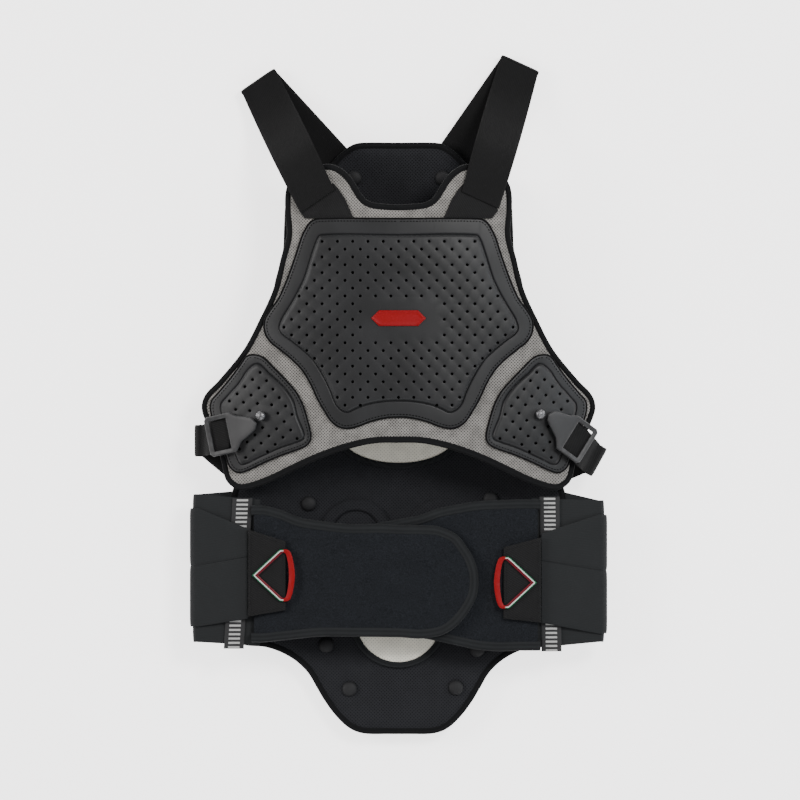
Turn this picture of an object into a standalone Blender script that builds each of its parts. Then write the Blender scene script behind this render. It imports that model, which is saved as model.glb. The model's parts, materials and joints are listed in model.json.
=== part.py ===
"""Body protector lying on its back, front side up.

A padded mesh back panel carries hard back plates underneath. An arched chest panel
with three moulded plates hangs over it on two folded shoulder straps and two buckled
side straps, and a padded belt closes over the lumbar pads with elastic sides.

+Z is up out of the chest, +Y runs to the neck and +X to the right of a viewer who
looks down on the chest. The origin is under the middle of the whole, on the surface
it lies on. Lengths are metres.
"""
import math
from collections import namedtuple

import bmesh
import bpy
from mathutils import Matrix, Vector

# Gaps between neighbours
PIECE_GAP = 0.0004
LAYER_GAP = 0.0007
EDGE_GAP = 0.0006

# Width over which a padded panel thins towards its rim
RIM_SLOPE = 0.006

# Facets: distance between stations across a sheet, and between points along an edge
STATION = 0.036
EDGE_STEP = 0.020
FINE_STEP = 0.018

# Back panel
BACK_HALF_WIDTH = 0.160
BACK_LENGTH = 0.5625
BACK_TOP = 0.240
BACK_THICKNESS = 0.011
BACK_BINDING_WIDTH = 0.0065
FLAT_HALF_WIDTH = 0.045
SHELL_RADIUS = 0.480
NECK_LIFT_START = 0.170
TAIL_LIFT_START = BACK_TOP - 0.9067 * BACK_LENGTH
END_LIFT_RADIUS = 0.420

# Hard plates under the back panel. Places down the back are shares of its length.
BACK_PLATE_THICKNESS = 0.003
UPPER_PLATE_HALF_WIDTH = 0.100
UPPER_PLATE_LENGTH = 0.5973 * BACK_LENGTH
UPPER_PLATE_TOP = BACK_TOP - 0.022
LOWER_PLATE_HALF_WIDTH = 0.102
LOWER_PLATE_LENGTH = 0.3022 * BACK_LENGTH
LOWER_PLATE_TOP = BACK_TOP - 0.5796 * BACK_LENGTH
TAIL_PLATE_HALF_WIDTH = 0.081
TAIL_PLATE_LENGTH = 0.1387 * BACK_LENGTH
TAIL_PLATE_TOP = BACK_TOP - 0.8267 * BACK_LENGTH

# Rivets through the back panel and its plates
RIVET_HEAD_RADIUS = 0.0071
RIVET_HEAD_HEIGHT = 0.0036
RIVET_SHANK_RADIUS = 0.0027

# Mesh windows and lumbar pads on the back panel
WINDOW_HALF_WIDTH = 0.060
WINDOW_HALF_HEIGHT = 0.033
WINDOW_CENTRE = BACK_TOP - 0.4916 * BACK_LENGTH
LOW_WINDOW_RADIUS = 0.0458
LOW_WINDOW_CENTRE = BACK_TOP - 0.8048 * BACK_LENGTH
WINDOW_RING_WIDTH = 0.0055
WINDOW_THICKNESS = 0.0012
WINDOW_RING_THICKNESS = 0.0028
LUMBAR_PAD_RADIUS = 0.035
LUMBAR_PAD_OFFSET = 0.0404
LUMBAR_PAD_CENTRE = BACK_TOP - 0.6622 * BACK_LENGTH
LUMBAR_PAD_THICKNESS = 0.003
LUMBAR_PAD_FACE_SHARE = 0.88
LUMBAR_PAD_RIM_SHARE = 0.4

# Chest panel
CHEST_HALF_WIDTH = 0.1867
CHEST_LENGTH = 0.3088
CHEST_TOP = 0.219
CHEST_THICKNESS = 0.007
CHEST_RISE = 0.082
CHEST_RADIUS = 0.360
CHEST_BINDING_WIDTH = 0.0064
CHEST_DROOP_RADIUS = 0.500
NECK_DROOP_START = 0.120
LAP_DROOP_START = -0.020

# Moulded plates on the chest panel
PLATE_HALF_WIDTH = 0.1268
PLATE_LENGTH = 0.1976
PLATE_TOP = 0.1667
PLATE_THICKNESS = 0.0045
PLATE_FLANGE = 0.0019
PLATE_SLOPE = 0.0014
FLANK_WIDTH = 0.0945
FLANK_LENGTH = 0.1112
FLANK_INNER = 0.0831
FLANK_TOP = 0.0385
FLANK_THICKNESS = 0.004
BADGE_HALF_WIDTH = 0.026
BADGE_HALF_HEIGHT = 0.0075
BADGE_CENTRE = 0.073
BADGE_THICKNESS = 0.0016

# Shoulder straps and the patches that carry them
STRAP_WIDTH = 0.0385
STRAP_THICKNESS = 0.0022
STRAP_FOLD_RADIUS = 0.0032
STRAP_FOLD_HEIGHT = 0.0088
STRAP_SWELL = 0.06
STRAP_ANCHOR_SHARE = 0.28
TAIL_SEATED_SHARE = 0.8
PATCH_THICKNESS = 0.0014
PATCH_WIDTH = 0.052
PATCH_LENGTH = 0.034
PATCH_INNER = 0.0425
PATCH_BASE = 0.1674

# Side straps and buckles
WEBBING_WIDTH = 0.029
WEBBING_THICKNESS = 0.002
WEBBING_FOLD_RADIUS = 0.006
WEBBING_ANCHOR_SHARE = 0.65
BUCKLE_LENGTH = 0.038
BUCKLE_DEPTH = 0.027
BUCKLE_BAR = 0.0043
BUCKLE_THICKNESS = 0.0036
TONGUE_REACH = 0.026
STUD_RADIUS = 0.0048
STUD_HEIGHT = 0.0075
STUD_NECK_SHARE = 0.8

# Belt
BELT_HALF_WIDTH = 0.1952
BELT_TOP = BACK_TOP - 0.6014 * BACK_LENGTH
BELT_HEIGHT = 0.1435
BELT_RISE = 0.052
BELT_RADIUS = 1.170
BELT_THICKNESS = 0.006
BELT_BINDING_WIDTH = 0.0092
BELT_BINDING_HEIGHT = 0.0066
BELT_LAP_STEP = 0.0037
SIDE_THICKNESS = 0.002
SIDE_FOLD_RADIUS = 0.0045
SIDE_FOLD_HEIGHT = 0.033
OVER_HEIGHT_SHARE = 0.917
OVER_TOP_SHARE = 0.033
UNDER_TOP_SHARE = 0.004
CLIMB_START_SHARE = -0.52
CLIMB_LENGTH_SHARE = 0.22
DIP_START_SHARE = 0.62
DIP_LENGTH_SHARE = 0.20
SIDE_OUTER_SHARE = 0.96
SIDE_INNER_SHARE = 0.70
SIDE_TUCK_SHARE = 0.03
TAPE_START_SHARE = 0.01
TAPE_SPARE_SHARE = 0.03
TAPE_WIDTH = 0.019
TAPE_THICKNESS = 0.001
TAB_THICKNESS = 0.004
PULL_LENGTH = 0.0410
PULL_HALF_HEIGHT = 0.0247
PULL_THICKNESS = 0.0024

# Finishes: red, green, blue, roughness, metallic
FINISHES = {
    "black_mesh": (0.012, 0.014, 0.016, 0.95, 0.0),
    "silver_mesh": (0.46, 0.45, 0.43, 0.85, 0.0),
    "light_mesh": (0.52, 0.50, 0.42, 0.85, 0.0),
    "binding_tape": (0.020, 0.022, 0.024, 0.90, 0.0),
    "elastic": (0.022, 0.023, 0.023, 0.90, 0.0),
    "webbing": (0.020, 0.021, 0.021, 0.80, 0.0),
    "loop_fabric": (0.012, 0.015, 0.019, 1.00, 0.0),
    "hard_plastic": (0.045, 0.048, 0.052, 0.50, 0.0),
    "buckle_plastic": (0.060, 0.061, 0.062, 0.50, 0.0),
    "rivet_black": (0.030, 0.032, 0.034, 0.35, 0.0),
    "rivet_metal": (0.30, 0.30, 0.30, 0.35, 1.0),
    "red_rubber": (0.45, 0.015, 0.025, 0.45, 0.0),
    "reflective_tape": (0.55, 0.55, 0.55, 0.45, 0.0),
}

# Outlines: share of the half width, share of the length down from the top edge
BACK_OUTLINE = (
    (0.000, 0.000), (0.214, 0.000), (0.268, 0.003), (0.310, 0.010), (0.357, 0.021),
    (0.414, 0.038), (0.524, 0.057), (0.619, 0.073), (0.666, 0.097), (0.679, 0.140),
    (0.685, 0.180), (0.708, 0.208), (0.738, 0.243), (0.752, 0.300), (0.745, 0.370),
    (0.760, 0.440), (0.830, 0.508), (0.925, 0.555), (0.980, 0.583), (1.000, 0.620),
    (1.000, 0.780), (0.983, 0.828), (0.929, 0.846), (0.792, 0.851), (0.696, 0.860),
    (0.607, 0.875), (0.536, 0.895), (0.482, 0.921), (0.440, 0.941), (0.375, 0.966),
    (0.292, 0.988), (0.208, 0.997), (0.060, 0.998), (0.000, 0.998),
)
UPPER_PLATE_OUTLINE = (
    (0.00, 0.00), (0.46, 0.00), (0.56, 0.03), (0.64, 0.10), (0.88, 0.20), (0.95, 0.36),
    (0.92, 0.60), (0.95, 0.83), (1.00, 0.94), (0.96, 0.99), (0.86, 1.00), (0.00, 1.00),
)
LOWER_PLATE_OUTLINE = (
    (0.00, 0.00), (0.88, 0.00), (0.97, 0.03), (1.00, 0.12), (0.96, 0.42), (0.88, 0.76),
    (0.82, 0.94), (0.72, 1.00), (0.00, 1.00),
)
TAIL_PLATE_OUTLINE = (
    (0.00, 0.00), (0.88, 0.00), (0.99, 0.05), (1.00, 0.16), (0.90, 0.42), (0.72, 0.78),
    (0.58, 0.93), (0.40, 1.00), (0.00, 1.00),
)
CHEST_OUTLINE = (
    (0.000, 0.124), (0.074, 0.122), (0.135, 0.117), (0.168, 0.106), (0.193, 0.086),
    (0.216, 0.062), (0.249, 0.034), (0.293, 0.012), (0.346, 0.000), (0.458, 0.009),
    (0.534, 0.037), (0.570, 0.077), (0.575, 0.148), (0.567, 0.215), (0.598, 0.292),
    (0.636, 0.385), (0.705, 0.477), (0.786, 0.569), (0.911, 0.662), (0.982, 0.708),
    (1.000, 0.748), (0.972, 0.800), (0.906, 0.898), (0.878, 0.966), (0.840, 0.991),
    (0.799, 1.000), (0.738, 0.994), (0.639, 0.972), (0.537, 0.942), (0.442, 0.915),
    (0.349, 0.892), (0.247, 0.872), (0.122, 0.856), (0.000, 0.854),
)
PLATE_OUTLINE = (
    (0.000, 0.000), (0.590, 0.000), (0.648, 0.012), (0.685, 0.043), (0.719, 0.087),
    (0.753, 0.154), (0.794, 0.231), (0.843, 0.313), (0.895, 0.385), (0.951, 0.433),
    (0.996, 0.486), (0.993, 0.543), (0.951, 0.587), (0.880, 0.623), (0.787, 0.673),
    (0.712, 0.724), (0.655, 0.784), (0.596, 0.865), (0.543, 0.923), (0.498, 0.966),
    (0.438, 0.993), (0.375, 0.999), (0.300, 0.988), (0.210, 0.966), (0.090, 0.948),
    (0.000, 0.945),
)
PLATE_FIELD = (
    (0.000, 0.075), (0.580, 0.075), (0.612, 0.101), (0.652, 0.173), (0.704, 0.279),
    (0.761, 0.356), (0.820, 0.421), (0.876, 0.483), (0.888, 0.534), (0.798, 0.584),
    (0.723, 0.623), (0.642, 0.673), (0.566, 0.748), (0.509, 0.822), (0.470, 0.885),
    (0.427, 0.915), (0.378, 0.925), (0.322, 0.909), (0.232, 0.887), (0.105, 0.873),
    (0.000, 0.870),
)
# Flank plate: share of its width out from its inner edge, share of its length down
FLANK_OUTLINE = (
    (0.583, 0.003), (0.482, 0.026), (0.367, 0.120), (0.246, 0.226), (0.151, 0.321),
    (0.085, 0.427), (0.035, 0.564), (0.003, 0.684), (0.015, 0.740), (0.075, 0.782),
    (0.276, 0.844), (0.462, 0.910), (0.668, 0.991), (0.739, 0.996), (0.804, 0.953),
    (0.849, 0.855), (0.920, 0.680), (0.995, 0.496), (0.995, 0.402), (0.930, 0.333),
    (0.814, 0.218), (0.709, 0.098), (0.645, 0.020),
)
FLANK_FIELD = (
    (0.553, 0.077), (0.412, 0.162), (0.261, 0.282), (0.171, 0.399), (0.131, 0.527),
    (0.070, 0.656), (0.064, 0.709), (0.111, 0.735), (0.312, 0.795), (0.500, 0.868),
    (0.683, 0.935), (0.734, 0.897), (0.820, 0.670), (0.905, 0.444), (0.830, 0.345),
    (0.744, 0.264),
)
# Strap patch: share of its width out from its inner edge, share of its length up
PATCH_OUTLINE = (
    (0.00, 0.00), (0.16, 0.56), (0.29, 0.85), (0.37, 0.98), (0.98, 0.42), (0.99, 0.20),
    (0.88, 0.00),
)
# Belt panels: share of the panel's length from its outer end, share of its height down
BELT_OVER_OUTLINE = (
    (0.012, 0.008), (0.112, 0.036), (0.205, 0.094), (0.295, 0.119), (0.424, 0.142),
    (0.563, 0.141), (0.652, 0.148), (0.786, 0.152), (0.830, 0.162), (0.904, 0.217),
    (0.948, 0.303), (0.982, 0.397), (1.000, 0.509), (0.996, 0.640), (0.973, 0.732),
    (0.929, 0.834), (0.882, 0.905), (0.830, 0.946), (0.741, 0.966), (0.652, 0.957),
    (0.429, 0.953), (0.295, 0.953), (0.205, 0.967), (0.116, 0.982), (0.012, 0.994),
    (0.000, 0.960), (0.000, 0.500), (0.000, 0.050),
)
BELT_UNDER_OUTLINE = (
    (0.012, 0.003), (0.209, 0.003), (0.311, 0.009), (0.413, 0.029), (0.515, 0.056),
    (0.617, 0.102), (0.719, 0.127), (0.872, 0.175), (0.964, 0.301), (1.000, 0.499),
    (0.974, 0.665), (0.898, 0.797), (0.770, 0.877), (0.643, 0.903), (0.515, 0.934),
    (0.413, 0.963), (0.311, 0.989), (0.209, 0.999), (0.107, 0.996), (0.012, 0.988),
    (0.000, 0.950), (0.000, 0.500), (0.000, 0.045),
)
# Pull frame: share of its length from its point, share of its half height
PULL_OUTLINE = (
    (0.00, 0.00), (0.31, 0.48), (0.62, 0.96), (0.70, 1.00), (0.80, 1.00), (0.90, 0.88),
    (0.965, 0.46), (1.00, 0.00),
)
PULL_HOLE = (
    (0.10, 0.00), (0.38, 0.43), (0.65, 0.84), (0.72, 0.88), (0.78, 0.86), (0.82, 0.70),
    (0.85, 0.38), (0.86, 0.00),
)
# Buckle tongue: share of its reach past the frame, share of half the frame's length
TONGUE_OUTLINE = (
    (0.00, -1.00), (0.26, -0.76), (0.62, -0.60), (0.86, -0.48), (1.00, -0.16),
    (0.90, 0.12), (0.50, 0.42), (0.26, 0.56), (0.12, 0.80), (0.00, 1.00),
)

# Rivets: share of the back panel's half width, share of its length down from the top
RIVETS = {
    "rivet_neck_left": (-0.262, 0.060),
    "rivet_neck_right": (0.262, 0.060),
    "rivet_waist_left": (-0.533, 0.609),
    "rivet_waist_right": (0.546, 0.602),
    "rivet_low_left": (-0.428, 0.848),
    "rivet_low_right": (0.466, 0.855),
    "rivet_tail_left": (-0.290, 0.9215),
    "rivet_tail_right": (0.340, 0.9195),
}

# Shoulder straps. Places are shares of the back panel's half width across and of its
# length down from the top; the fold line is the turn of the folded edge.
Strap = namedtuple("Strap", "name anchor fold tail fold_line")
SHOULDER_STRAPS = (
    Strap("shoulder_strap_left", (-0.481, 0.100), (-0.835, -0.105), (-0.345, 0.048), 34.5),
    Strap("shoulder_strap_right", (0.484, 0.098), (0.723, -0.133), (0.290, 0.046), -24.6),
)
# Side straps, the same way, with the buckle's place and its turn from square
SideStrap = namedtuple("SideStrap", "name anchor fold tail fold_line buckle turn")
SIDE_STRAPS = (
    SideStrap("side_webbing_left", (-1.000, 0.488), (-1.203, 0.503), (-0.940, 0.556), -90.0,
              (-1.056, 0.493), -12.0),
    SideStrap("side_webbing_right", (1.004, 0.490), (1.186, 0.5395), (0.930, 0.560), 61.0,
              (1.061, 0.5015), 34.0),
)
# Studs beside the buckle tongues, as shares of the back panel's half width and length
STUDS = {"stud_left": (-0.808, 0.461), "stud_right": (0.832, 0.458)}

# Belt sides. Across: shares of the belt's half width. Down: shares of its height.
BeltSide = namedtuple(
    "BeltSide",
    "name sign panel_end nose tape_top tape_foot tab_root tab_tip base_fold base_inner "
    "band_fold band_inner tab_root_ends tab_tip_ends pull_point pull_level",
)
BELT_SIDES = (
    BeltSide("left", -1, 0.703, -0.387, 0.757, 0.800, 0.732, 0.547, (-0.033, 0.944),
             (0.003, 0.967), (0.060, 0.437, 0.841), (0.195, 0.381, 0.788),
             (0.199, 0.775), (0.278, 0.732), 0.712, 0.502),
    BeltSide("right", 1, 0.677, -0.260, 0.733, 0.743, 0.694, 0.509, (0.007, 0.943),
             (-0.007, 0.985), (0.102, 0.470, 0.887), (0.225, 0.406, 0.815),
             (0.252, 0.815), (0.318, 0.788), 0.672, 0.550),
)


def collection(name):
    """A new collection in the scene."""
    made = bpy.data.collections.new(name)
    bpy.context.scene.collection.children.link(made)
    return made


def finish(name):
    """The material of one finish."""
    if name in bpy.data.materials:
        return bpy.data.materials[name]
    red, green, blue, roughness, metallic = FINISHES[name]
    made = bpy.data.materials.new(name)
    made.use_nodes = True
    shader = made.node_tree.nodes["Principled BSDF"]
    shader.inputs["Base Color"].default_value = (red, green, blue, 1.0)
    shader.inputs["Roughness"].default_value = roughness
    shader.inputs["Metallic"].default_value = metallic
    made.diffuse_color = (red, green, blue, 1.0)
    return made


def add(name, data, material, smooth=True):
    """Link one object with its finish to the protector's collection."""
    piece = bpy.data.objects.new(name, data)
    PROTECTOR.objects.link(piece)
    data.materials.clear()
    data.materials.append(finish(material))
    if smooth and isinstance(data, bpy.types.Mesh):
        data.shade_smooth()
    return piece


def smooth_loop(corners, step):
    """A closed smooth curve through the corners, with a point about every step."""
    corners = [Vector(corner) for corner in corners]
    count = len(corners)
    loop = []
    for index in range(count):
        before, start, end, after = (corners[(index + turn) % count] for turn in (-1, 0, 1, 2))
        span = (end - start).length
        leave = (end - before).normalized() * span
        arrive = (after - start).normalized() * span
        parts = max(1, round(span / step))
        for part in range(parts):
            t = part / parts
            loop.append(
                start * (2 * t**3 - 3 * t**2 + 1)
                + leave * (t**3 - 2 * t**2 + t)
                + end * (3 * t**2 - 2 * t**3)
                + arrive * (t**3 - t**2)
            )
    return loop


def signed_area(loop):
    """Area inside a loop, positive where it runs counter-clockwise."""
    return sum(a.x * b.y - b.x * a.y for a, b in zip(loop, loop[1:] + loop[:1])) / 2


def mirrored(rows, half_width, length, top):
    """Corners of an outline that is the same on both sides of the middle."""
    right = [(x * half_width, top - y * length) for x, y in rows]
    left = [(-x, y) for x, y in reversed(right[1:-1])]
    return right + left


def inset(loop, distance):
    """The closed loop moved inwards by a distance, with edges that vanish left out."""
    side = 1.0 if signed_area(loop) > 0 else -1.0
    moved, ahead_of = [], []
    for index, point in enumerate(loop):
        back = (point - loop[index - 1]).normalized()
        ahead = (loop[(index + 1) % len(loop)] - point).normalized()
        along = (back + ahead).normalized()
        inward = Vector((-along.y, along.x)) * side
        square = Vector((-back.y, back.x)) * side
        moved.append(point + inward * (distance / max(0.6, inward.dot(square))))
        ahead_of.append(ahead)
    index = 0
    while index < len(moved):
        following = (index + 1) % len(moved)
        if (moved[following] - moved[index]).dot(ahead_of[index]) < EDGE_STEP / 20:
            moved[following] = (moved[following] + moved[index]) / 2
            del moved[index], ahead_of[index]
            index = max(0, index - 1)
        else:
            index += 1
    return moved


def ease(share):
    """0 to 1 with a soft start and a soft stop."""
    share = min(1.0, max(0.0, share))
    return share * share * (3 - 2 * share)


def above(surface, height):
    """A surface that lies square above another by a height."""
    probe = 0.002

    def raised(x, y):
        slope_x = (surface(x + probe, y) - surface(x - probe, y)) / (2 * probe)
        slope_y = (surface(x, y + probe) - surface(x, y - probe)) / (2 * probe)
        return surface(x, y) + height * math.sqrt(1 + slope_x**2 + slope_y**2)

    return raised


def underside(x, y):
    """The lowest surface: flat along the spine, curling up at the sides and ends."""
    past_side = max(0.0, abs(x) - FLAT_HALF_WIDTH)
    past_end = max(0.0, y - NECK_LIFT_START, TAIL_LIFT_START - y)
    return past_side**2 / (2 * SHELL_RADIUS) + past_end**2 / (2 * END_LIFT_RADIUS)


def chest_middle(x, y):
    """Middle of the chest panel's padding: an arch across, drooping at both ends."""
    past = max(0.0, y - NECK_DROOP_START, LAP_DROOP_START - y)
    return CHEST_RISE - x**2 / (2 * CHEST_RADIUS) - past**2 / (2 * CHEST_DROOP_RADIUS)


def belt_middle(x, y):
    """Middle of the closed belt, before its two panels step over each other."""
    return BELT_RISE - x**2 / (2 * BELT_RADIUS)


LEVEL_LOW = underside
LEVEL_HIGH = above(underside, BACK_PLATE_THICKNESS + LAYER_GAP)
BACK_UNDER = above(underside, 2 * (BACK_PLATE_THICKNESS + LAYER_GAP))
BACK_MIDDLE = above(BACK_UNDER, BACK_THICKNESS / 2)
BACK_FACE = above(BACK_UNDER, BACK_THICKNESS + LAYER_GAP)
CHEST_FACE = above(chest_middle, CHEST_THICKNESS / 2 + LAYER_GAP)
STRAP_FACE = above(CHEST_FACE, PATCH_THICKNESS + LAYER_GAP + STRAP_THICKNESS / 2)
FLANK_FACE = above(CHEST_FACE, FLANK_THICKNESS + LAYER_GAP)
WEBBING_FACE = above(FLANK_FACE, WEBBING_THICKNESS / 2)
STRAP_TAIL_FACE = above(BACK_UNDER, -LAYER_GAP - STRAP_THICKNESS / 2)
WEBBING_TAIL_FACE = above(BACK_UNDER, -LAYER_GAP - WEBBING_THICKNESS / 2)
BUCKLE_FACE = above(FLANK_FACE, WEBBING_THICKNESS + LAYER_GAP + BUCKLE_THICKNESS / 2)


def stations_from(start, end, step):
    """Places from a start towards an end, a step apart."""
    count = int(abs(end - start) / step) + 1
    return [start + math.copysign(step, end - start) * index for index in range(count)]


# Where sheets are divided across and along, the same for all layers of one kind, so
# that their facets lie over each other. A surface is divided only where it curves.
STATIONS = {
    "back": (
        stations_from(-FLAT_HALF_WIDTH, -BACK_HALF_WIDTH, STATION)
        + stations_from(FLAT_HALF_WIDTH, BACK_HALF_WIDTH, STATION),
        stations_from(NECK_LIFT_START, BACK_TOP, STATION)
        + stations_from(TAIL_LIFT_START, BACK_TOP - BACK_LENGTH, STATION),
    ),
    "chest": (
        stations_from(0.0, CHEST_HALF_WIDTH, STATION)
        + stations_from(-STATION, -CHEST_HALF_WIDTH, STATION),
        stations_from(NECK_DROOP_START, CHEST_TOP, STATION)
        + stations_from(LAP_DROOP_START, CHEST_TOP - CHEST_LENGTH, STATION),
    ),
    "belt": (
        stations_from(0.0, BELT_HALF_WIDTH, STATION)
        + stations_from(-STATION, -BELT_HALF_WIDTH, STATION),
        [],
    ),
}


def sheet(name, kind, loops, shares, surface, thickness, side, material, hollow=False):
    """A closed solid over nested outlines, the outermost first.

    The kind says which family of surfaces it lies on. Each outline has its share of the
    thickness. The side is 1 for a solid that stands on the surface and 0 for one that
    has it in its middle. A hollow one is open inside.
    """
    build = bmesh.new()
    layer = build.verts.layers.float.new("share")
    rings = []
    for loop, share in zip(loops, shares):
        ring = [build.verts.new((point.x, point.y, 0.0)) for point in loop]
        for vert in ring:
            vert[layer] = share
        rings.append([build.edges.new(pair) for pair in zip(ring, ring[1:] + ring[:1])])
    for outer, inner in zip(rings, rings[1:]):
        bmesh.ops.triangle_fill(build, edges=outer + inner, use_beauty=True)
    if not hollow:
        bmesh.ops.edgeloop_fill(build, edges=rings[-1])
    for axis, stations in enumerate(STATIONS[kind]):
        places = [point[axis] for point in loops[0]]
        square = Vector((1.0 - axis, float(axis), 0.0))
        for station in stations:
            if min(places) < station < max(places):
                everything = build.verts[:] + build.edges[:] + build.faces[:]
                bmesh.ops.bisect_plane(
                    build, geom=everything, dist=1e-6, plane_co=square * station, plane_no=square
                )
    bmesh.ops.recalc_face_normals(build, faces=build.faces[:])
    build.normal_update()
    if sum(face.normal.z * face.calc_area() for face in build.faces) < 0:
        bmesh.ops.reverse_faces(build, faces=build.faces[:])
    for vert in build.verts:
        vert.co.z = surface(vert.co.x, vert.co.y)
    build.verts.index_update()
    weights = [vert[layer] for vert in build.verts]
    mesh = bpy.data.meshes.new(name)
    build.to_mesh(mesh)
    build.free()
    piece = add(name, mesh, material, smooth=False)
    group = piece.vertex_groups.new(name="thickness")
    for index, weight in enumerate(weights):
        group.add([index], weight, "REPLACE")
    shell = piece.modifiers.new("Thickness", "SOLIDIFY")
    shell.thickness = thickness
    shell.offset = side
    shell.use_even_offset = False
    shell.vertex_group = group.name
    shell.thickness_vertex_group = 0.0
    return piece


def oval(name, width, height):
    """The section of a folded binding tape."""
    curve = bpy.data.curves.new(name, "CURVE")
    curve.dimensions = "2D"
    spline = curve.splines.new("POLY")
    corners = 6
    spline.points.add(corners - 1)
    for index in range(corners):
        angle = -math.tau * (index + 0.5) / corners
        across, up = width / 2 * math.cos(angle), height / 2 * math.sin(angle)
        spline.points[index].co = (across, up, 0.0, 1.0)
    spline.use_cyclic_u = True
    section = bpy.data.objects.new(name, curve)
    GUIDES.objects.link(section)
    section.hide_render = True
    section.display_type = "WIRE"
    return section


def binding(name, loop, surface, width, height, material):
    """Tape folded over an edge: its section swept along the closed outline."""
    if signed_area(loop) > 0:
        loop = loop[::-1]
    curve = bpy.data.curves.new(name, "CURVE")
    curve.dimensions = "3D"
    curve.twist_mode = "Z_UP"
    spline = curve.splines.new("POLY")
    spline.points.add(len(loop) - 1)
    for index, point in enumerate(loop):
        spline.points[index].co = (point.x, point.y, surface(point.x, point.y), 1.0)
    spline.use_cyclic_u = True
    curve.bevel_mode = "OBJECT"
    curve.bevel_object = oval(name + "_section", width, height)
    return add(name, curve, material)


def padded_panel(name, kind, outline, middle, thickness, tape_width, tape_height, materials):
    """A padded panel, thin at its rim, with its binding tape around it."""
    fabric, tape = materials
    rim = inset(outline, tape_width + EDGE_GAP)
    body = inset(rim, RIM_SLOPE)
    sheet(name, kind, [rim, body], [0.5, 1.0], middle, thickness, 0, fabric)
    path = inset(outline, tape_width / 2)
    binding(name + "_binding", path, middle, tape_width, tape_height, tape)


def ribbon(name, sections, thickness, material):
    """A flat strap through sections, each given by its two edge points."""
    steps = len(sections) - 1
    build = bmesh.new()
    bmesh.ops.create_grid(build, x_segments=steps, y_segments=1, size=1.0)
    for vert in build.verts:
        near, far = sections[round((vert.co.x + 1) / 2 * steps)]
        vert.co = near.lerp(far, (vert.co.y + 1) / 2)
    bmesh.ops.recalc_face_normals(build, faces=build.faces[:])
    mesh = bpy.data.meshes.new(name)
    build.to_mesh(mesh)
    build.free()
    piece = add(name, mesh, material, smooth=False)
    shell = piece.modifiers.new("Thickness", "SOLIDIFY")
    shell.thickness = thickness
    shell.offset = 0.0
    shell.use_even_offset = False
    return piece


def on_back(place):
    """A point from its shares of the back panel's half width and length."""
    return Vector((place[0] * BACK_HALF_WIDTH, BACK_TOP - place[1] * BACK_LENGTH))


def lying_on(surface, point, turn):
    """Matrix of a piece that lies on a surface at a point, turned by degrees."""
    probe = 0.002
    slope_x = (surface(point.x + probe, point.y) - surface(point.x - probe, point.y)) / (2 * probe)
    slope_y = (surface(point.x, point.y + probe) - surface(point.x, point.y - probe)) / (2 * probe)
    square = Vector((-slope_x, -slope_y, 1.0)).normalized()
    place = Matrix.Translation((point.x, point.y, surface(point.x, point.y)))
    tilt = Vector((0.0, 0.0, 1.0)).rotation_difference(square).to_matrix().to_4x4()
    return place @ tilt @ Matrix.Rotation(math.radians(turn), 4, "Z")


def turned(name, profile, steps, material):
    """A round piece from its profile, which runs from the top of the axis to its foot."""
    mesh = bpy.data.meshes.new(name)
    edges = [(index, index + 1) for index in range(len(profile) - 1)]
    mesh.from_pydata([(radius, 0.0, height) for radius, height in profile], edges, [])
    piece = add(name, mesh, material, smooth=False)
    screw = piece.modifiers.new("Turn", "SCREW")
    screw.steps = steps
    screw.render_steps = steps
    screw.use_merge_vertices = True
    screw.merge_threshold = 0.00001
    return piece


def cylinder_cutter(name, radius, height, matrix):
    """A round hole's cutter, centred on its matrix."""
    build = bmesh.new()
    bmesh.ops.create_cone(
        build, cap_ends=True, segments=10, radius1=radius, radius2=radius, depth=height
    )
    mesh = bpy.data.meshes.new(name)
    build.to_mesh(mesh)
    build.free()
    cutter = bpy.data.objects.new(name, mesh)
    CUTTERS.objects.link(cutter)
    cutter.matrix_world = matrix
    cutter.hide_render = True
    cutter.display_type = "WIRE"
    return cutter


def cut(piece, cutter):
    """Cut a piece with a cutter."""
    hole = piece.modifiers.new("Cut " + cutter.name, "BOOLEAN")
    hole.operation = "DIFFERENCE"
    hole.solver = "EXACT"
    hole.object = cutter


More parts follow.
